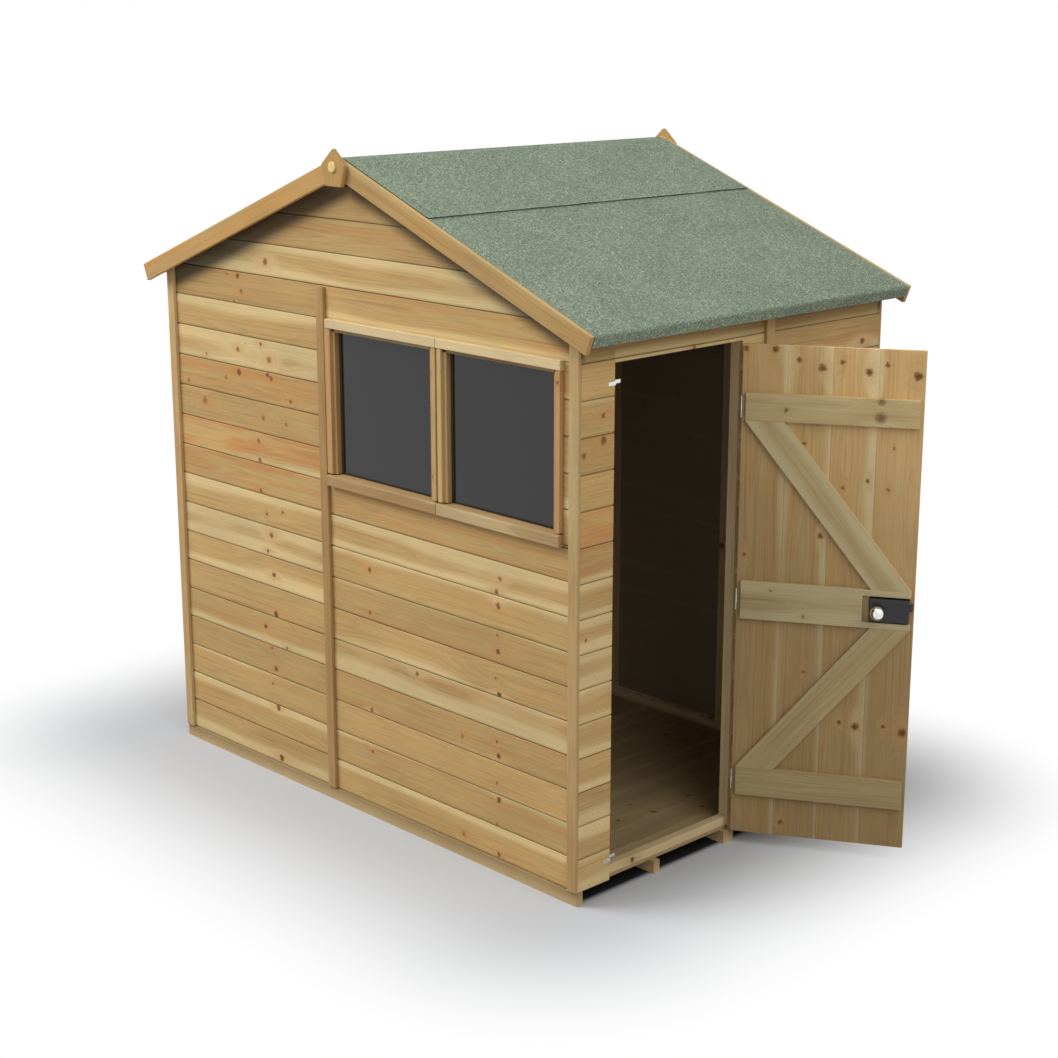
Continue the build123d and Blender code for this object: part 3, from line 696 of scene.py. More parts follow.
class Graph:
    """The nodes of a material or a world, by short names."""

    def __init__(self, block, output):
        block.use_nodes = True
        self.tree = block.node_tree
        self.tree.nodes.clear()
        self.output = self.add(output)

    def feed(self, socket, value):
        """Give a socket a link or a plain value."""
        if isinstance(value, Value):
            self.tree.links.new(value.socket, socket)
        else:
            socket.default_value = value

    def add(self, kind, inputs=None, **settings):
        """A new node with some settings, and links or plain values for some of its sockets."""
        node = self.tree.nodes.new(kind)
        for name, value in settings.items():
            setattr(node, name, value)
        for key, value in (inputs or {}).items():
            self.feed(node.inputs[key], value)
        return node

    def take(self, kind, inputs=None, output=0, **settings):
        """One output of a new node."""
        return Value(self, self.add(kind, inputs, **settings).outputs[output])

    def finish(self, surface):
        self.feed(self.output.inputs["Surface"], surface)

    def attribute(self, name, output):
        return self.take("ShaderNodeAttribute", None, output, attribute_name=name)

    def place(self):
        return self.take("ShaderNodeTexCoord", None, "Object")

    def math(self, operation, first, second=0.0):
        return self.take("ShaderNodeMath", {0: first, 1: second}, operation=operation)

    def most(self, first, second):
        return self.math("MAXIMUM", first, second)

    def vector(self, operation, first, second):
        return self.take("ShaderNodeVectorMath", {0: first, 1: second}, operation=operation)

    def length(self, vector):
        return self.take("ShaderNodeVectorMath", {0: vector}, "Value", operation="LENGTH")

    def split(self, vector):
        node = self.add("ShaderNodeSeparateXYZ", {0: vector})
        return [Value(self, socket) for socket in node.outputs]

    def join(self, x, y, z):
        return self.take("ShaderNodeCombineXYZ", {0: x, 1: y, 2: z})

    def mix(self, factor, first, second, blend="MIX"):
        inputs = {0: factor, 6: first, 7: second}
        return self.take("ShaderNodeMix", inputs, 2, data_type="RGBA", blend_type=blend)

    def dim(self, tint, level):
        """A colour times a level."""
        return self.mix(1.0, tint, self.join(level, level, level), "MULTIPLY")

    def smooth(self, value, low, high, to_low=0.0, to_high=1.0):
        """A soft step of a value between two levels."""
        inputs = dict(enumerate((value, low, high, to_low, to_high)))
        return self.take("ShaderNodeMapRange", inputs, interpolation_type="SMOOTHSTEP")

    def noise(self, vector, scale, detail, output=0):
        return self.take("ShaderNodeTexNoise", {"Vector": vector, "Scale": scale, "Detail": detail}, output)

    def grain_noise(self, grain, pitches, detail):
        """A noise drawn out along the grain."""
        return self.noise(self.vector("MULTIPLY", grain, pitches), 1.0, detail)

    def drift(self, vector, scale, detail):
        """A noise in three directions, about nought."""
        return self.vector("SUBTRACT", self.noise(vector, scale, detail, 1), (0.5, 0.5, 0.5))

    def granules(self, vector, scale):
        """The distance to the middle of a granule, and three chance values of each granule."""
        outputs = self.add("ShaderNodeTexVoronoi", {"Vector": vector, "Scale": scale}).outputs
        return Value(self, outputs["Distance"]), self.split(Value(self, outputs["Color"]))

    def blend(self, factor, first, second):
        return self.take("ShaderNodeMixShader", {0: factor, 1: first, 2: second})


class Surface(Graph):
    """A material with one glossy and diffuse shader."""

    def __init__(self, name):
        self.material = bpy.data.materials.new(name)
        super().__init__(self.material, "ShaderNodeOutputMaterial")
        self.shader = self.add("ShaderNodeBsdfPrincipled")
        self.shown = Value(self, self.shader.outputs[0])
        self.finish(self.shown)

    def set(self, **values):
        """Set the shader's sockets, with _ for a space in a name."""
        for name, value in values.items():
            self.feed(self.shader.inputs[name.replace("_", " ")], value)

    def bump(self, height, strength, distance):
        inputs = {"Strength": strength, "Distance": distance, "Height": height}
        self.set(Normal=self.take("ShaderNodeBump", inputs))


def knots(graph, along, across):
    """How much a point lies in a knot's core and in its halo, how far its grain bends, and how dark it is."""
    flat = graph.join(along, across, 0.0)
    rough = graph.drift(flat, KNOT_NOISE, 3.0)
    here = graph.vector("ADD", flat, graph.vector("MULTIPLY", rough, KNOT_ROUGHNESS))
    totals = None
    for name in KNOT_NAMES:
        spot = graph.attribute(name, "Color")
        size = graph.split(spot)[2]
        reach = graph.vector("MULTIPLY", graph.vector("SUBTRACT", here, spot), (1.0, 1.0, 0.0))
        core = graph.smooth(graph.length(reach) / size, *KNOT_CORE, 1.0, 0.0)
        drawn = graph.length(graph.vector("MULTIPLY", reach, HALO_STRETCH))
        halo = graph.smooth(drawn / size, *KNOT_HALO, 1.0, 0.0)
        own = (core, halo, halo * size * HALO_BEND, core * graph.attribute(name, "Alpha"))
        totals = [graph.most(*pair) for pair in zip(totals, own)] if totals else own
    return totals


def roof_shadow(graph):
    """A painted shade under the roof's edge, after the photograph's shadow there. No lamp makes it."""
    out, back, up = graph.split(graph.place())
    under = ROOF_PEAK - (up + abs(out) * ROOF_FALL)
    deepest = graph.smooth(abs(back), *GABLE_FACE, SIDE_SHADOW, GABLE_SHADOW)
    return graph.smooth(under, *SHADOW_SPAN, 1.0, 0.0) * deepest


def timber_material(name, sap, wood, heart, late, knot, sheen=0.62, painted_light_levels=None, shadowed=False):
    """Planed softwood: pale sapwood, warm heartwood, growth rings, fibres and knots along each board."""
    graph = Surface(name)
    grain = graph.attribute("grain", "Vector")
    along, across, depth = graph.split(grain)
    tone, warmth, heart_edge = graph.split(graph.attribute("tint", "Color"))
    # The tint's alpha is painted shade: above nought toward the shaded wood, below nought toward the inner
    # wood
    sunk = graph.attribute("tint", "Alpha")
    core, halo, swirl, dark = knots(graph, along, across)

    wander = graph.split(graph.drift(graph.vector("MULTIPLY", grain, WANDER_PITCHES), 1.0, 2.0))
    side = across + wander[0] * WANDER_REACH
    deep = depth + wander[1] * WANDER_REACH
    radius = graph.length(graph.join(side, deep, 0.0)) + swirl

    streak = graph.grain_noise(grain, STREAK_PITCHES, 4.0)
    line = graph.grain_noise(grain, LINE_PITCHES, 3.0)
    fibre = graph.grain_noise(grain, FIBRE_PITCHES, 3.0)
    patch = graph.grain_noise(grain, PATCH_PITCHES, 2.0)
    flame = graph.grain_noise(grain, FLAME_PITCHES, 3.0)

    wobble = (streak - 0.5) * WOBBLE_REACH
    phase = graph.math("FRACT", (radius + wobble) / RING_PITCH)
    ring = graph.smooth(phase, *RING_START) * graph.smooth(phase, *RING_END, 1.0, 0.0)
    past_heart = radius - heart_edge + wobble
    sapness = graph.smooth(past_heart, *SAP_SPAN)

    near_edge = graph.smooth(past_heart, *WARM_SPAN, *WARM_LEVELS)
    glow = graph.most(graph.smooth(streak, *STREAK_SPAN), graph.smooth(flame, *FLAME_SPAN))
    body = graph.mix(glow * (warmth * near_edge), wood, heart)
    body = graph.mix(sapness, body, sap)
    body = graph.mix(ring * graph.smooth(sapness, 0.0, 1.0, *RING_LEVELS), body, late)
    lines = graph.smooth(line, *LINE_SPAN) * graph.smooth(sapness, 0.0, 1.0, *LINE_LEVELS)
    body = graph.mix(lines, body, late)
    level = graph.smooth(tone, 0.0, 1.0, *TONE_LEVELS) * graph.smooth(fibre, *FIBRE_SPAN, *FIBRE_LEVELS)
    level = level * graph.smooth(patch, *PATCH_SPAN, *PATCH_LEVELS)
    if shadowed:
        level = level * (1.0 - roof_shadow(graph))
    # Painted light: the leaf and its ledges paler up and outward
    if painted_light_levels:
        out, _, up = graph.split(graph.place())
        level = level * graph.smooth(up + out * PAINTED_LIGHT_RUN, *PAINTED_LIGHT_SPAN, *painted_light_levels)
    body = graph.dim(body, level)
    body = graph.mix(halo * HALO_STRENGTH, body, heart)
    body = graph.mix(core * CORE_STRENGTH, body, late)
    body = graph.mix(dark * DARK_STRENGTH, body, knot)
    # Painted shade in grooves, reveals, lips, on the upper bearers and on inner faces
    body = graph.mix(sunk, body, colour(*SHADED_WOOD))
    body = graph.mix(sunk * -1.0, body, colour(*INNER_WOOD))

    graph.set(Base_Color=body, Specular_IOR_Level=0.30)
    graph.set(Roughness=graph.smooth(fibre, *FIBRE_SPAN, sheen - SHEEN_LESS, sheen + SHEEN_MORE))
    graph.bump(fibre * FIBRE_RISE + ring * RING_RISE + core * KNOT_RISE, 0.30, 0.0006)
    return graph.material


def felt_material():
    """Green mineral felt: fine granules of several greens over a dark sheet."""
    graph = Surface("mineral_felt")
    place = graph.place()
    fine_reach, fine = graph.granules(place, 620.0)
    _, coarse = graph.granules(place, 260.0)
    body = graph.mix(graph.smooth(fine[0], 0.1, 0.9), colour(108, 124, 104), colour(146, 158, 137))
    body = graph.mix(graph.smooth(coarse[0], 0.72, 0.90) * 0.75, body, colour(180, 188, 167))
    body = graph.mix(graph.smooth(coarse[1], 0.70, 0.90) * 0.75, body, colour(79, 97, 80))
    body = graph.dim(body, graph.smooth(graph.noise(place, 5.0, 4.0), 0.3, 0.7, 0.97, 1.08))
    graph.set(Base_Color=body, Specular_IOR_Level=0.25)
    graph.set(Roughness=graph.smooth(fine[1], 0.0, 1.0, 0.82, 0.98))
    graph.bump(graph.smooth(fine_reach, 0.0, 0.7, 1.0, 0.0) + coarse[2], 0.55, 0.0008)
    return graph.material


def bitumen_material():
    """The cut edge of the felt: dull black bitumen."""
    graph = Surface("bitumen_edge")
    spot = graph.noise(graph.place(), 300.0, 4.0)
    graph.set(Base_Color=graph.mix(spot, colour(26, 28, 25), colour(62, 68, 58)), Roughness=0.85)
    graph.bump(spot, 0.5, 0.0006)
    return graph.material


def metal_material(name, dull, bright, rough_low, rough_high, scale):
    """Plated steel with a mottled finish."""
    graph = Surface(name)
    spot = graph.noise(graph.place(), scale, 5.0)
    tone = graph.mix(graph.smooth(spot, 0.3, 0.7), colour(*dull), colour(*bright))
    graph.set(Base_Color=tone, Metallic=1.0)
    graph.set(Roughness=graph.smooth(spot, 0.25, 0.75, rough_low, rough_high))
    graph.bump(spot, 0.10, 0.0003)
    return graph.material


def black_material():
    """Black stove enamel with a fine orange peel."""
    graph = Surface("lock_enamel")
    smear = graph.noise(graph.place(), 40.0, 3.0)
    graph.set(Base_Color=graph.mix(smear, colour(24, 24, 25), colour(40, 40, 42)))
    graph.set(Roughness=graph.smooth(smear, 0.3, 0.7, 0.32, 0.46), Specular_IOR_Level=0.45)
    graph.bump(graph.noise(graph.place(), 900.0, 3.0), 0.15, 0.0003)
    return graph.material


def glass_material():
    """Dark sheet glazing with a faint film of dust."""
    graph = Surface("window_sheet")
    film = graph.noise(graph.place(), 9.0, 4.0)
    graph.set(Base_Color=graph.mix(film, colour(22, 22, 21), colour(28, 28, 27)))
    graph.set(Roughness=graph.smooth(film, 0.3, 0.7, 0.04, 0.09), IOR=1.5)
    return graph.material


# Each timber takes its roughness, and some their painted light and shade, as keywords
TIMBERS = {}
for timber_name, tints in TIMBER_COLOURS.items():
    finish = TIMBER_ROUGHNESS_AND_PAINTED_LIGHT.get(timber_name, {})
    tints = [colour(*tint) for tint in tints]
    TIMBERS[timber_name] = timber_material(f"{timber_name}_softwood", *tints, **finish)
FELT = felt_material()
BITUMEN = bitumen_material()
ZINC = metal_material("zinc_plate", (214, 215, 216), (240, 240, 240), 0.24, 0.40, 140.0)
NAIL_STEEL = metal_material("nail_steel", (132, 104, 70), (164, 134, 96), 0.5, 0.7, 300.0)
CLOUT_STEEL = metal_material("clout_zinc", (206, 210, 206), (232, 234, 230), 0.35, 0.5, 300.0)
LOCK_BLACK = black_material()
LOCK_BRIGHT = metal_material("polished_steel", (222, 222, 222), (240, 240, 240), 0.16, 0.24, 60.0)
GLASS = glass_material()


# Walls

def lap_profile(low, high, inner, outer):
    """The section of a wall board: small chamfers and, if it is wide enough, a sunk lap at its upper edge."""
    chamfer = min(BOARD_CHAMFER, (high - low) / 4)
    back = inner + chamfer
    inside = [(low, back), (low + chamfer, inner), (high - chamfer, inner), (high, back)]
    foot = [(low + min(BOARD_ROUND, (high - low) / 4), outer), (low, outer - chamfer)]
    if high - low <= 2 * GROOVE_WIDTH:
        return inside + [(high, outer - chamfer), (high - chamfer, outer)] + foot
    lip = high - GROOVE_WIDTH
    sunk = outer - GROOVE_DEPTH
    return inside + [(high, sunk), (lip, sunk), (lip, outer - chamfer), (lip - chamfer, outer)] + foot


def clad(timber, wall, place, low, high, cuts=None):
    """Boards over an area of a wall, on the board lines that all walls share."""
    start, end = cuts or (lambda across: low.x, lambda across: high.x)
    first = math.floor((low.y - WALL_BASE + TINY) / BOARD_COVER)
    last = math.ceil((high.y - WALL_BASE - TINY) / BOARD_COVER)
    for row in range(first, last):
        row_low = WALL_BASE + row * BOARD_COVER
        seed = f"{wall}-{row}"
        outer = high.z + random.Random(seed + "-play").uniform(-BOARD_PLAY, 0)
        profile = lap_profile(max(row_low, low.y), min(row_low + BOARD_COVER, high.y), low.z, outer)
        middle = (row_low + BOARD_COVER / 2, (low.z + high.z) / 2)
        marks = {"half": BOARD_COVER / 2, "look": LOOKS.get(wall, {}).get(row), "knots": KNOTS.get(wall)}

        def shade(out, outer=outer):
            depth = (outer - out) / GROOVE_DEPTH
            return depth * GROOVE_SHADE if depth < 1 + TINY else INNER_SHADE

        timber.add(seed, place, along_shape(profile, start, end), middle, shade=shade, **marks)


def clad_nodes(name, wall, place, *nodes):
    """The boards of some rectangular wall panels, as one piece."""
    timber = Timber()
    for node in nodes:
        for low, high in boxes_of(node, place):
            clad(timber, wall, place, low, high)
    timber.piece(name, "shed", "cladding_timber", TIMBERS["cladding"], *nodes)


def clad_gable(node, place):
    """The boards of a gable triangle, cut to the slopes."""
    timber = Timber()
    low, high = box_of(node, place)
    share = (high.x - low.x) / 2 / (high.y - low.y)
    ends = (lambda across: -(high.y - across) * share, lambda across: (high.y - across) * share)
    clad(timber, node, place, low, Vector((high.x, high.y - TINY, high.z)), ends)
    timber.piece(node.replace("_panel", "_boards"), "shed", "cladding_timber", TIMBERS["cladding"], node)


def build_walls():
    """Shiplap boards on every wall panel."""
    clad_nodes("front_left_boards", "front_left", FRONT_WALL, "front_left_panel")
    clad_nodes("front_right_boards", "front_right", FRONT_WALL,
               "front_sill_panel", "front_head_panel", "front_window_side_panels")
    clad_nodes("rear_left_boards", "rear_left", REAR_WALL, "rear_left_panel")
    clad_nodes("rear_right_boards", "rear_right", REAR_WALL, "rear_right_panel")
    clad_nodes("left_wall_boards", "left_side", LEFT_WALL, "left_wall_panel")
    clad_nodes("door_lock_side_boards", "right_lock", RIGHT_WALL, "door_lock_side_panel")
    clad_nodes("door_hinge_side_boards", "right_near", RIGHT_WALL, "door_hinge_side_panel", "door_head_panel")
    clad_nodes("right_far_boards", "right_far", RIGHT_WALL, "right_far_panel")
    clad_gable("front_gable_panel", FRONT_WALL)
    clad_gable("rear_gable_panel", REAR_WALL)


# Framing, floor and trim

def boxes_piece(name, node, slot, timber_name, ease, **marks):
    """A piece of rectangular timbers in the place of one CAD node."""
    timber = Timber()
    timber.add_boxes(node, ease, **marks)
    timber.piece(name, "shed", slot, TIMBERS[timber_name], node)


def build_framing():
    """Bearers, studs, rails, threshold, cover strips and battens."""
    low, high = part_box("floor_bearers")
    middle = (low.z + high.z) / 2
    marks = {"look": PALE_LOOK, "shade": lambda height: BEARER_SHADE if height > middle else 0.0}
    boxes_piece("bearers", "floor_bearers", "framing_timber", "trim", SAWN_EASE, **marks)
    for node in ("gable_studs", "gable_rails", "side_studs", "side_rails"):
        marks = {"knots": NO_KNOTS} if node == "side_studs" else {}
        boxes_piece(node.replace("_", "_wall_"), node, "framing_timber", "framing", SAWN_EASE, **marks)
    marks = {"look": PALE_LOOK, "knots": KNOTS["threshold"]}
    boxes_piece("threshold", "door_threshold", "trim_timber", "pale", PLANED_EASE, **marks)
    boxes_piece("corner_trims", "corner_strips", "trim_timber", "trim", PLANED_EASE, knots=NO_KNOTS)
    boxes_piece("joint_trims", "joint_strips", "trim_timber", "joint", PLANED_EASE, knots=NO_KNOTS)
    battens = Timber()
    for index, points in enumerate(solids("roof_battens")):
        place = RIGHT_SLOPE if points[0].x > 0 else LEFT_SLOPE
        battens.add_box(f"batten-{index}", place, *box_in(points, place), SAWN_EASE)
    battens.piece("roof_purlins", "shed", "framing_timber", TIMBERS["framing"], "roof_battens")


def build_floor_and_roof_boards():
    """Deck boards along the shed, and boards along both slopes under the felt."""
    deck = Timber()
    low, high = box_of("floor_deck", DECK)
    deck.add_side_by_side("deck", DECK, low, high, round((high.y - low.y) / DECK_COVER), SAWN_EASE)
    deck.piece("deck_boards", "shed", "framing_timber", TIMBERS["deck"], "floor_deck")
    for side, _, place in SLOPES:
        node = f"{side}_roof_panel"
        low, high = box_of(node, place)
        low.y = max(low.y, 0)
        slope = Timber()
        slope.add_side_by_side(node, place, low, high, round((high.y - low.y) / ROOF_BOARD_COVER), SAWN_EASE)
        slope.piece(f"{side}_roof_boards", "shed", "framing_timber", TIMBERS["framing"], node)


# Windows

def stile_profile(low, high, pane_side):
    """The section of a stile: a rebate on its outer edge and a sunk lip beside the pane."""
    outer, inner = (low.y, high.y) if pane_side > 0 else (high.y, low.y)
    rebate = outer + pane_side * REBATE_WIDTH
    lip = inner - pane_side * LIP_WIDTH
    line = [(outer, low.z), (outer, high.z - REBATE_DEPTH), (rebate, high.z - REBATE_DEPTH), (rebate, high.z)]
    return line + [(lip, high.z), (lip, high.z - LIP_DEPTH), (inner, high.z - LIP_DEPTH), (inner, low.z)]


def build_stiles():
    """The stepped stiles of both lights, with painted shade deepening toward the glass. The first is drawn
    wider.
    """
    glass = box_of("window_panes", WINDOW_STILE)[1].z
    panes = boxes_of("window_panes", WINDOW_STILE)
    stiles = Timber()
    for index, (low, high) in enumerate(boxes_of("window_stiles", WINDOW_STILE)):
        pane_side = 1 if any(abs(pane_low.y - high.y) < TINY for pane_low, _ in panes) else -1
        if index == 0:
            high.y += STILE_SPREAD

        def shade(out, face=high.z):
            return min(1.0, (face - out) / (face - glass)) * REVEAL_SHADE

        shape = run_shape(stile_profile(low, high, pane_side), low, high)
        marks = {"knots": KNOTS["stile"], "look": LOOKS["stile"][index], "shade": shade}
        stiles.add(f"stile-{index}", WINDOW_STILE, shape, middle_of(low, high), SAWN_EASE, **marks)
    stiles.piece("light_stiles", "shed", "trim_timber", TIMBERS["stile"], "window_stiles")


def build_rails():
    """Head rails with a lip under them, and weathered bottom rails."""
    rails = Timber()
    face = box_of("window_stiles", FRONT_WALL)[1].z
    glass = box_of("window_panes", FRONT_WALL)[1].z
    for index, points in enumerate(solids("window_rails")):
        low, high = box_in(points, FRONT_WALL)
        outline = hull([(point.y, point.z) for point in seen_from(points, FRONT_WALL)])
        is_head = high.z - low.z < RAIL_DEPTH
        marks = {"knots": NO_KNOTS, "look": PALE_LOOK if is_head else BROWN_LOOK}
        shape = run_shape(outline, low, high)
        rails.add(f"rail-{index}", FRONT_WALL, shape, middle_of(low, high), PLANED_EASE, **marks)
        if is_head:
            start = Vector((low.x + HEAD_LIP, low.y - HEAD_LIP, glass))
            end = Vector((high.x - HEAD_LIP, low.y, face - LIP_DEPTH))
            marks = {"knots": NO_KNOTS, "look": BROWN_LOOK, "shade": lambda _: LIP_SHADE}
            rails.add_box(f"lip-{index}", FRONT_WALL, start, end, SAWN_EASE, **marks)
    rails.piece("light_rails", "shed", "trim_timber", TIMBERS["pale"], "window_rails")


def build_windows():
    """Stiles, rails and beads of both lights, and the glazing between the beads."""
    build_stiles()
    build_rails()
    # The beads' dark timber is painted shade beside the glass
    boxes_piece("light_beads", "window_beads", "trim_timber", "bead", PLANED_EASE, knots=NO_KNOTS)
    beads = boxes_of("window_beads", FRONT_WALL)
    sheets = []
    for pane, left, right in zip(boxes_of("window_panes", FRONT_WALL), beads[::2], beads[1::2]):
        low, high = pane
        edge = left[1]
        start = Vector((edge.x, low.y, low.z))
        sheets.append(box_shape(start, Vector((right[0].x, high.y, edge.z - GLASS_SET))))
        sheets[-1].transform(FRONT_WALL)
    show_shapes("glazing", sheets, "shed", "window_glass", GLASS, "window_panes")


# Verges

def slope_axes(side, out):
    """Axes along a slope for a board on a gable: side is 1 to the right, out is -1 at the front."""
    normal = Vector((side * SLOPE_SIN, 0, SLOPE_COS))
    face = Vector((0, out, 0))
    return axes(normal.cross(face), normal, face)


def build_verges():
    """Bargeboards, finials and their buttons at both gables."""
    for end, out in (("front", -1), ("rear", 1)):
        node = f"{end}_bargeboards"
        boards = Timber()
        for index, points in enumerate(solids(node)):
            place = slope_axes(1 if sum(point.x for point in points) > 0 else -1, out)
            marks = {"look": LOOKS["verge"][index], "knots": NO_KNOTS}
            boards.add_outline(f"{node}-{index}", place, points, PLANED_EASE, **marks)
        boards.piece(f"{end}_verge_boards", "shed", "verge_timber", TIMBERS["verge"], node)
    caps = Timber()
    for index, points in enumerate(solids("finials")):
        caps.add_outline(f"finial-{index}", UPRIGHT, points, PLANED_EASE, look=WARM_LOOK, knots=NO_KNOTS)
    caps.piece("finial_caps", "shed", "verge_timber", TIMBERS["verge"], "finials")
    discs = Timber()
    for index, (low, high) in enumerate(boxes_of("finial_buttons", SHED)):
        out = 1 if low.y > 0 else -1
        radius = (high.x - low.x) / 2
        depth = high.y - low.y
        centre = ((low.x + high.x) / 2, low.y if out > 0 else high.y, (low.z + high.z) / 2)
        place = axes((0, 0, 1), (out, 0, 0), (0, out, 0), centre)
        profile = [(radius * across, depth * rise) for across, rise in BUTTON_RIM_SHARES]
        discs.add(f"button-{index}", place, turned_shape(profile, BUTTON_STEPS), (0, 0), knots=NO_KNOTS)
    discs.piece("turned_buttons", "shed", "verge_timber", TIMBERS["button"], "finial_buttons")


# Felt

def ripple(pitches, *place):
    """A smooth chance level, about nought, that changes with the place."""
    return noise.noise(Vector([pitch * value for pitch, value in zip(pitches, place)]))


def felt_sheet(name, node, section, place):
    """A sheet over the roof: a section (down, up) for each step along it, made as thick as the felt."""
    low, high = box_of(node, place)
    points = []
    for step in range(FELT_ALONG_STEPS + 1):
        along = low.x + (high.x - low.x) * step / FELT_ALONG_STEPS
        line = section(along)
        points.extend(place @ Vector((along, down, up)) for down, up in line)
    across = len(line)
    faces = []
    for step in range(FELT_ALONG_STEPS):
        for first in range(step * across, (step + 1) * across - 1):
            faces.append((first, first + 1, first + across + 1, first + across))
    mesh = bpy.data.meshes.new(name)
    mesh.from_pydata(points, [], faces)
    piece = show(name, mesh, "shed", "roof_felt", FELT, node)
    mesh.materials.append(BITUMEN)
    thick = piece.modifiers.new("felt_thickness", "SOLIDIFY")
    thick.thickness = FELT_THICKNESS
    thick.offset = -1
    thick.material_offset_rim = 1


def slope_section(low, high, side):
    """The section of a slope's sheet: flat, creased near the eaves, then folded down over them."""
    flat_end = high.y - FELT_FOLD_RADIUS
    top = high.z
    crease = high.y - FELT_CREASE_RISE

    def section(along):
        line = []
        for step in range(FELT_DOWN_STEPS + 1):
            down = low.y + (crease - 2 * FELT_CREASE_HALF - low.y) * step / FELT_DOWN_STEPS
            line.append((down, top + FELT_WAVE * ripple(FELT_PITCHES, along, down, side)))
        wave = LAP_WAVE * ripple(EAVES_PITCHES, along, side, 1)
        for offset, depth in ((-FELT_CREASE_HALF, 0.0), (0.0, 1.0), (FELT_CREASE_HALF, 0.0)):
            line.append((crease + wave + offset, top - depth * FELT_CREASE_DEPTH))
        for step in range(FELT_ARC_STEPS + 1):
            angle = math.pi / 2 * step / FELT_ARC_STEPS
            down = flat_end + FELT_FOLD_RADIUS * math.sin(angle)
            line.append((down, top - FELT_FOLD_RADIUS * (1 - math.cos(angle))))
        drip = low.z + DRIP_SHARE * wave
        return line + [(high.y, (top - FELT_FOLD_RADIUS + drip) / 2), (high.y, drip)]

    return section


def build_slope_felts():
    """The sheet of each slope, from under the ridge sheet to the drip at the eaves."""
    for name, side, place in SLOPES:
        node = f"{name}_roof_felt"
        felt_sheet(f"{name}_felt_sheet", node, slope_section(*box_of(node, place), side), place)


def build_ridge_felt():
    """The sheet over the ridge, lapped over both slope sheets."""
    _, high = box_of("ridge_felt", RIGHT_SLOPE)
    lapped = high.z

    def slope_line(along, side):
        reach = high.y + LAP_WAVE * ripple(LAP_PITCHES, along, side, 1)
        line = []
        for step in range(RIDGE_FELT_STEPS + 1):
            down = RIDGE_ROUND + (reach - RIDGE_ROUND) * step / RIDGE_FELT_STEPS
            lift = LAP_LIFT * max(0.0, 1 - (reach - down) / LAP_TAPER) ** 2
            lift *= LIFT_SHARES[0] + LIFT_SHARES[1] * ripple(LIFT_PITCHES, along, side, 1)
            up = lapped + FELT_WAVE * ripple(FELT_PITCHES, along, down, side + RIDGE_LAYER) + lift
            line.append((side * (down * SLOPE_COS + up * SLOPE_SIN), up * SLOPE_COS - down * SLOPE_SIN))
        return line

    def section(along):
        crown = lapped / SLOPE_COS - RIDGE_ROUND * SLOPE_SIN / 2
        return slope_line(along, -1)[::-1] + [(0.0, crown)] + slope_line(along, 1)

    felt_sheet("ridge_felt_sheet", "ridge_felt", section, axes((0, -1, 0), (1, 0, 0), (0, 0, 1), RIDGE))


# Fasteners

def head_shape(radius, height, steps, recess):
    """A low domed head, with a cross recess if it is a screw."""
    shape = turned_shape([(radius * across, height * rise) for across, rise in HEAD_SHARES], steps)
    if recess:
        top = max(shape.faces, key=lambda face: face.calc_center_median().z)
        bmesh.ops.inset_region(shape, faces=[top], thickness=RECESS_RIM_SHARE * radius)
        for index, vertex in enumerate(top.verts):
            share = RECESS_TIP_SHARE if index % (steps // RECESS_ARMS) == 0 else RECESS_NOTCH_SHARE
            flat = Vector((vertex.co.x, vertex.co.y, 0)).normalized() * radius * share
            vertex.co = (flat.x, flat.y, height)
        floor = bmesh.ops.extrude_discrete_faces(shape, faces=[top])["faces"][0]
        for vertex in floor.verts:
            vertex.co.z -= RECESS_DEPTH_SHARE * height
    return shape


def fasteners(name, body, material, places, radius, height, steps=NAIL_STEPS, recess=False):
    """A piece of like heads, each at a place whose third axis points out of the surface."""
    heads = []
    for place in places:
        heads.append(head_shape(radius, height, steps, recess))
        heads[-1].transform(place)
    show_shapes(name, heads, body, "zinc_steel", material)


def screws(name, body, places):
    """A piece of cross-head screws."""
    fasteners(name, body, ZINC, places, SCREW_RADIUS, SCREW_HEIGHT, SCREW_STEPS, True)


def at(place, along, across, out):
    """A head's place on a wall or board."""
    return place @ Matrix.Translation((along, across, out))


NAILED_PANELS = (
    ("front", FRONT_WALL, "gable_studs", ("front_left_panel", "front_sill_panel", "front_head_panel")),
    ("rear", REAR_WALL, "gable_studs", ("rear_left_panel", "rear_right_panel")),
    ("right", RIGHT_WALL, "side_studs", ("door_lock_side_panel", "door_hinge_side_panel", "right_far_panel")),
    ("left", LEFT_WALL, "side_studs", ("left_wall_panel",)),
)


def nail_levels(low, high, top):
    """The heights of the nails between two levels of a panel, two to each whole board under its top."""
    for row in range(int((top - WALL_BASE + TINY) / BOARD_COVER)):
        for share in NAIL_ROW_SHARES:
            level = WALL_BASE + (row + share) * BOARD_COVER
            if low < level < high:
                yield level


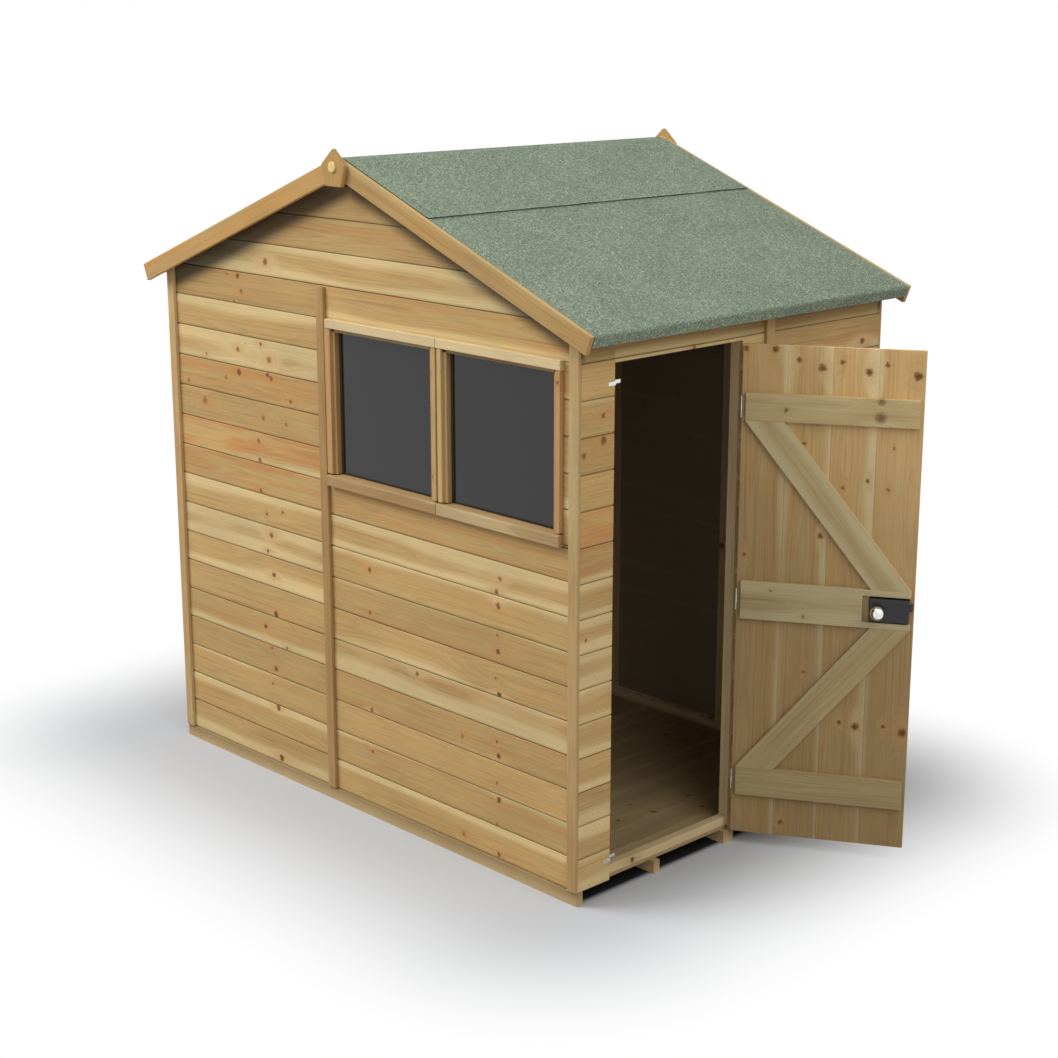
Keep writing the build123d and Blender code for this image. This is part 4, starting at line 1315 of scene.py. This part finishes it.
def build_wall_nails():
    """Two nails through each board into each stud that no strip covers."""
    for wall, place, stud_node, panels in NAILED_PANELS:
        areas = [box_of(panel, place) for panel in panels]
        face = max(high.z for _, high in areas)
        strips = boxes_of("corner_strips", place) + boxes_of("joint_strips", place)
        covers = [(low.x, high.x) for low, high in strips if high.z > face + TINY and low.z > 0]
        places = []
        for low, high in boxes_of(stud_node, place):
            middle = (low.x + high.x) / 2
            if low.z < 0 or any(start < middle < end for start, end in covers):
                continue
            for area_low, area_high in areas:
                if not area_low.x + NAIL_EDGE_MARGIN < middle < area_high.x - NAIL_EDGE_MARGIN:
                    continue
                for level in nail_levels(max(low.y, area_low.y), min(high.y, area_high.y), area_high.y):
                    draw = random.Random(f"{wall}-{middle:.3f}-{level:.3f}")
                    drift = draw.uniform(-NAIL_DRIFT, NAIL_DRIFT)
                    places.append(at(place, middle + drift, level + drift, face - BOARD_PLAY))
        fasteners(f"{wall}_wall_nails", "shed", NAIL_STEEL, places, NAIL_RADIUS, NAIL_HEIGHT)


def build_clouts():
    """Clout nails along both laps of the ridge sheet."""
    low, high = box_of("ridge_felt", RIGHT_SLOPE)
    count = round((high.x - low.x) / CLOUT_PITCH)
    lift = LAP_LIFT * (1 - CLOUT_INSET / LAP_TAPER) ** 2 / 2
    places = []
    for place in (RIGHT_SLOPE, LEFT_SLOPE):
        for index in range(1, count):
            along = low.x + index * (high.x - low.x) / count
            places.append(at(place, along, high.y - CLOUT_INSET, high.z + lift))
    fasteners("felt_clouts", "shed", CLOUT_STEEL, places, CLOUT_RADIUS, CLOUT_HEIGHT)


# Door

def build_leaf_boards():
    """Upright boards of the leaf."""
    boards = Timber()
    boards.add_side_by_side("leaf", LEAF, *box_of("door_boards", LEAF), DOOR_BOARD_COUNT, DOOR_EASE)
    boards.piece("leaf_boards", "door", "door_timber", TIMBERS["door"], "door_boards")


def build_ledges():
    """Ledges across the leaf, the middle one with its pocket for the lock."""
    ledges = Timber()
    for index, points in enumerate(solids("door_ledges")):
        low, high = box_in(points, LEDGE)
        local = seen_from(points, LEDGE)
        runs = sorted(set(round(point.x, 4) for point in local))
        levels = sorted(set(round(point.y, 4) for point in local))
        outline = [(low.x, low.y), (high.x, low.y)]
        if len(levels) > 2:
            outline += [(high.x, levels[1]), (runs[1], levels[1]), (runs[1], levels[2]), (high.x, levels[2])]
        outline += [(high.x, high.y), (low.x, high.y)]
        shape = plate_shape(outline, low.z, high.z)
        ledges.add(f"ledge-{index}", LEDGE, shape, middle_of(low, high), PLANED_EASE, knots=KNOTS["ledge"])
    ledges.piece("leaf_ledges", "door", "door_timber", TIMBERS["ledge"], "door_ledges")


def build_braces():
    """Slanting braces between the ledges, each with its grain along it."""
    braces = Timber()
    for index, points in enumerate(solids("door_braces")):
        low, high = box_in(points, LEDGE)
        local = seen_from(points, LEDGE)
        top = [point.x for point in local if point.y > high.y - TINY]
        foot = [point.x for point in local if point.y < low.y + TINY]
        lean = math.atan2(high.y - low.y, (max(top) + min(top) - max(foot) - min(foot)) / 2)
        place = LEDGE @ Matrix.Rotation(lean, 4, "Z")
        braces.add_outline(f"brace-{index}", place, points, PLANED_EASE, knots=NO_KNOTS)
    braces.piece("leaf_braces", "door", "door_timber", TIMBERS["ledge"], "door_braces")


def is_strip_end(edge, start, end):
    """Whether an edge runs through the thickness of a strip at one of its ends."""
    first, second = (vertex.co for vertex in edge.verts)
    return abs(first.y - second.y) < TINY and abs(first.x - second.x) < TINY and first.x in (start, end)


def build_clips():
    """The stop clips as bent strips with rounded ends."""
    strips = []
    for points in solids("door_stop_clips"):
        local = seen_from(points, RIGHT_WALL)
        start, corner, bend, end = sorted(set(round(point.x, 4) for point in local))
        back, front, wall, face = sorted(set(round(point.z, 4) for point in local))
        level = (min(point.y for point in local) + max(point.y for point in local)) / 2
        level += math.copysign(CLIP_NUDGE, WALL_HIGH.z / 2 - level)
        outline = [(start, wall), (corner, wall), (corner, back), (end, back)]
        outline += [(end, front), (bend, front), (bend, face), (start, face)]
        lower = [(along, level - CLIP_HALF, out) for along, out in outline]
        upper = [(along, level + CLIP_HALF, out) for along, out in outline]
        strip = between(lower, upper)
        ends = [edge for edge in strip.edges if is_strip_end(edge, start, end)]
        bmesh.ops.bevel(
            strip, geom=ends, offset=CLIP_ROUND, segments=CLIP_ROUND_STEPS, profile=0.5, affect="EDGES"
        )
        strip.transform(RIGHT_WALL)
        strips.append(strip)
    show_shapes("stop_clips", strips, "shed", "zinc_steel", ZINC, "door_stop_clips")


def finish_node(node, material, ease=0.0):
    """Give a CAD node its finish, with its edges softened."""
    piece = frame["nodes"][node]
    piece.data.materials.clear()
    piece.data.materials.append(material)
    if ease:
        soften = piece.modifiers.new("softened_edges", "BEVEL")
        soften.width = ease
        soften.segments = 2
        soften.limit_method = "ANGLE"
        soften.angle_limit = EDGE_ANGLE
    return piece


def build_ironmongery():
    """Hinges, stop clips and the lock, with the screws that hold the hinges."""
    for node in ("hinge_plates", "hinge_straps"):
        finish_node(node, ZINC, METAL_EASE)
    build_clips()
    for node in ("lock_case", "lock_latch"):
        finish_node(node, LOCK_BLACK, CASE_EASE)
    finish_node("lock_rose", LOCK_BRIGHT)
    knob = finish_node("lock_knob", LOCK_BRIGHT)
    for polygon in knob.data.polygons:
        polygon.use_smooth = True
    places = []
    for low, high in boxes_of("hinge_straps", LEAF_OUTSIDE):
        for share in STRAP_SCREW_SHARES:
            along = low.x + share * (high.x - low.x)
            places.append(at(LEAF_OUTSIDE, along, (low.y + high.y) / 2, low.z + HINGE_GAUGE))
    screws("strap_screws", "door", places)
    places = []
    for low, high in boxes_of("hinge_plates", RIGHT_WALL):
        for share in PLATE_SCREW_SHARES:
            across = low.y + share * (high.y - low.y)
            places.append(at(RIGHT_WALL, high.x - PLATE_SCREW_INSET, across, low.z + HINGE_GAUGE))
    screws("plate_screws", "shed", places)


# Scene

def seen(graph):
    """One for rays from the camera and their reflections, nought for light that bounces about."""
    path = graph.add("ShaderNodeLightPath").outputs
    kinds = ("Is Camera Ray", "Is Glossy Ray", "Is Transmission Ray")
    camera, glossy, through = (Value(graph, path[kind]) for kind in kinds)
    return graph.most(graph.most(camera, glossy), through)


def floor_material():
    """A pale floor with painted shade under the shed, that keeps its shadow and turns white away from it."""
    graph = Surface("studio_floor")
    _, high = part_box("floor_bearers")
    x, y, _ = graph.split(graph.place())
    beside = graph.most(abs(x + FLOOR_SHIFT_X) - high.x, 0.0)
    before = graph.most(abs(y + FLOOR_SHIFT_Y) - high.y, 0.0)
    white = graph.smooth(graph.length(graph.join(beside, before, 0.0)), *FLOOR_WHITE_SPAN)
    # Painted shade: the floor dark under the shed
    inside = graph.smooth(graph.most(abs(x) - high.x, abs(y) - high.y), -FLOOR_EDGE, 0.0)
    tone = graph.mix(inside, colour(30, 30, 30), colour(192, 195, 199))
    graph.set(Base_Color=tone, Roughness=0.9, Specular_IOR_Level=0.1)
    glow = graph.take("ShaderNodeEmission")
    bounce = graph.take("ShaderNodeBsdfDiffuse", {"Color": FLOOR_BOUNCE})
    graph.finish(graph.blend(seen(graph), bounce, graph.blend(white, graph.shown, glow)))
    return graph.material


def build_floor():
    """The floor, out to where it is white."""
    corners = [(FLOOR_REACH * x, FLOOR_REACH * y, 0) for x, y in ((-1, -1), (1, -1), (1, 1), (-1, 1))]
    mesh = bpy.data.meshes.new("studio_floor")
    mesh.from_pydata(corners, [], [(0, 1, 2, 3)])
    mesh.materials.append(floor_material())
    floor = bpy.data.objects.new("studio_floor", mesh)
    bpy.context.scene.collection.objects.link(floor)


def build_world():
    """A dome of even light that is white where it is seen."""
    world = bpy.data.worlds.new("studio")
    bpy.context.scene.world = world
    graph = Graph(world, "ShaderNodeOutputWorld")
    light = graph.take("ShaderNodeBackground", {"Color": WHITE, "Strength": DOME_LEVEL})
    white = graph.take("ShaderNodeBackground", {"Color": WHITE})
    graph.finish(graph.blend(seen(graph), light, white))


def build_lamps():
    """Soft round lamps about the shed."""
    for name, azimuth, elevation, level, reach, size in LAMPS:
        data = bpy.data.lights.new(name, "AREA")
        data.shape = "DISK"
        data.size = size
        data.energy = math.pi * reach**2 * level
        turn, rise = math.radians(azimuth), math.radians(elevation)
        away = Vector((math.sin(turn) * math.cos(rise), -math.cos(turn) * math.cos(rise), math.sin(rise)))
        lamp = bpy.data.objects.new(name, data)
        lamp.location = Vector(LAMP_AIM) + away * reach
        lamp.rotation_euler = away.to_track_quat("Z", "Y").to_euler()
        bpy.context.scene.collection.objects.link(lamp)


def build_camera():
    """The photograph's camera."""
    data = bpy.data.cameras.new("photo_camera")
    data.lens = CAMERA_LENS
    data.sensor_width = CAMERA_SENSOR
    data.sensor_fit = "HORIZONTAL"
    camera = bpy.data.objects.new("photo_camera", data)
    camera.location = CAMERA_PLACE
    camera.rotation_euler = (math.radians(90 - CAMERA_DIP), 0, math.radians(CAMERA_AZIMUTH))
    bpy.context.scene.collection.objects.link(camera)
    bpy.context.scene.camera = camera


build_walls()
build_framing()
build_floor_and_roof_boards()
build_windows()
build_verges()
build_slope_felts()
build_ridge_felt()
build_wall_nails()
build_clouts()
build_leaf_boards()
build_ledges()
build_braces()
build_ironmongery()
build_floor()
build_world()
build_lamps()
build_camera()
bpy.context.scene.view_settings.view_transform = "Standard"
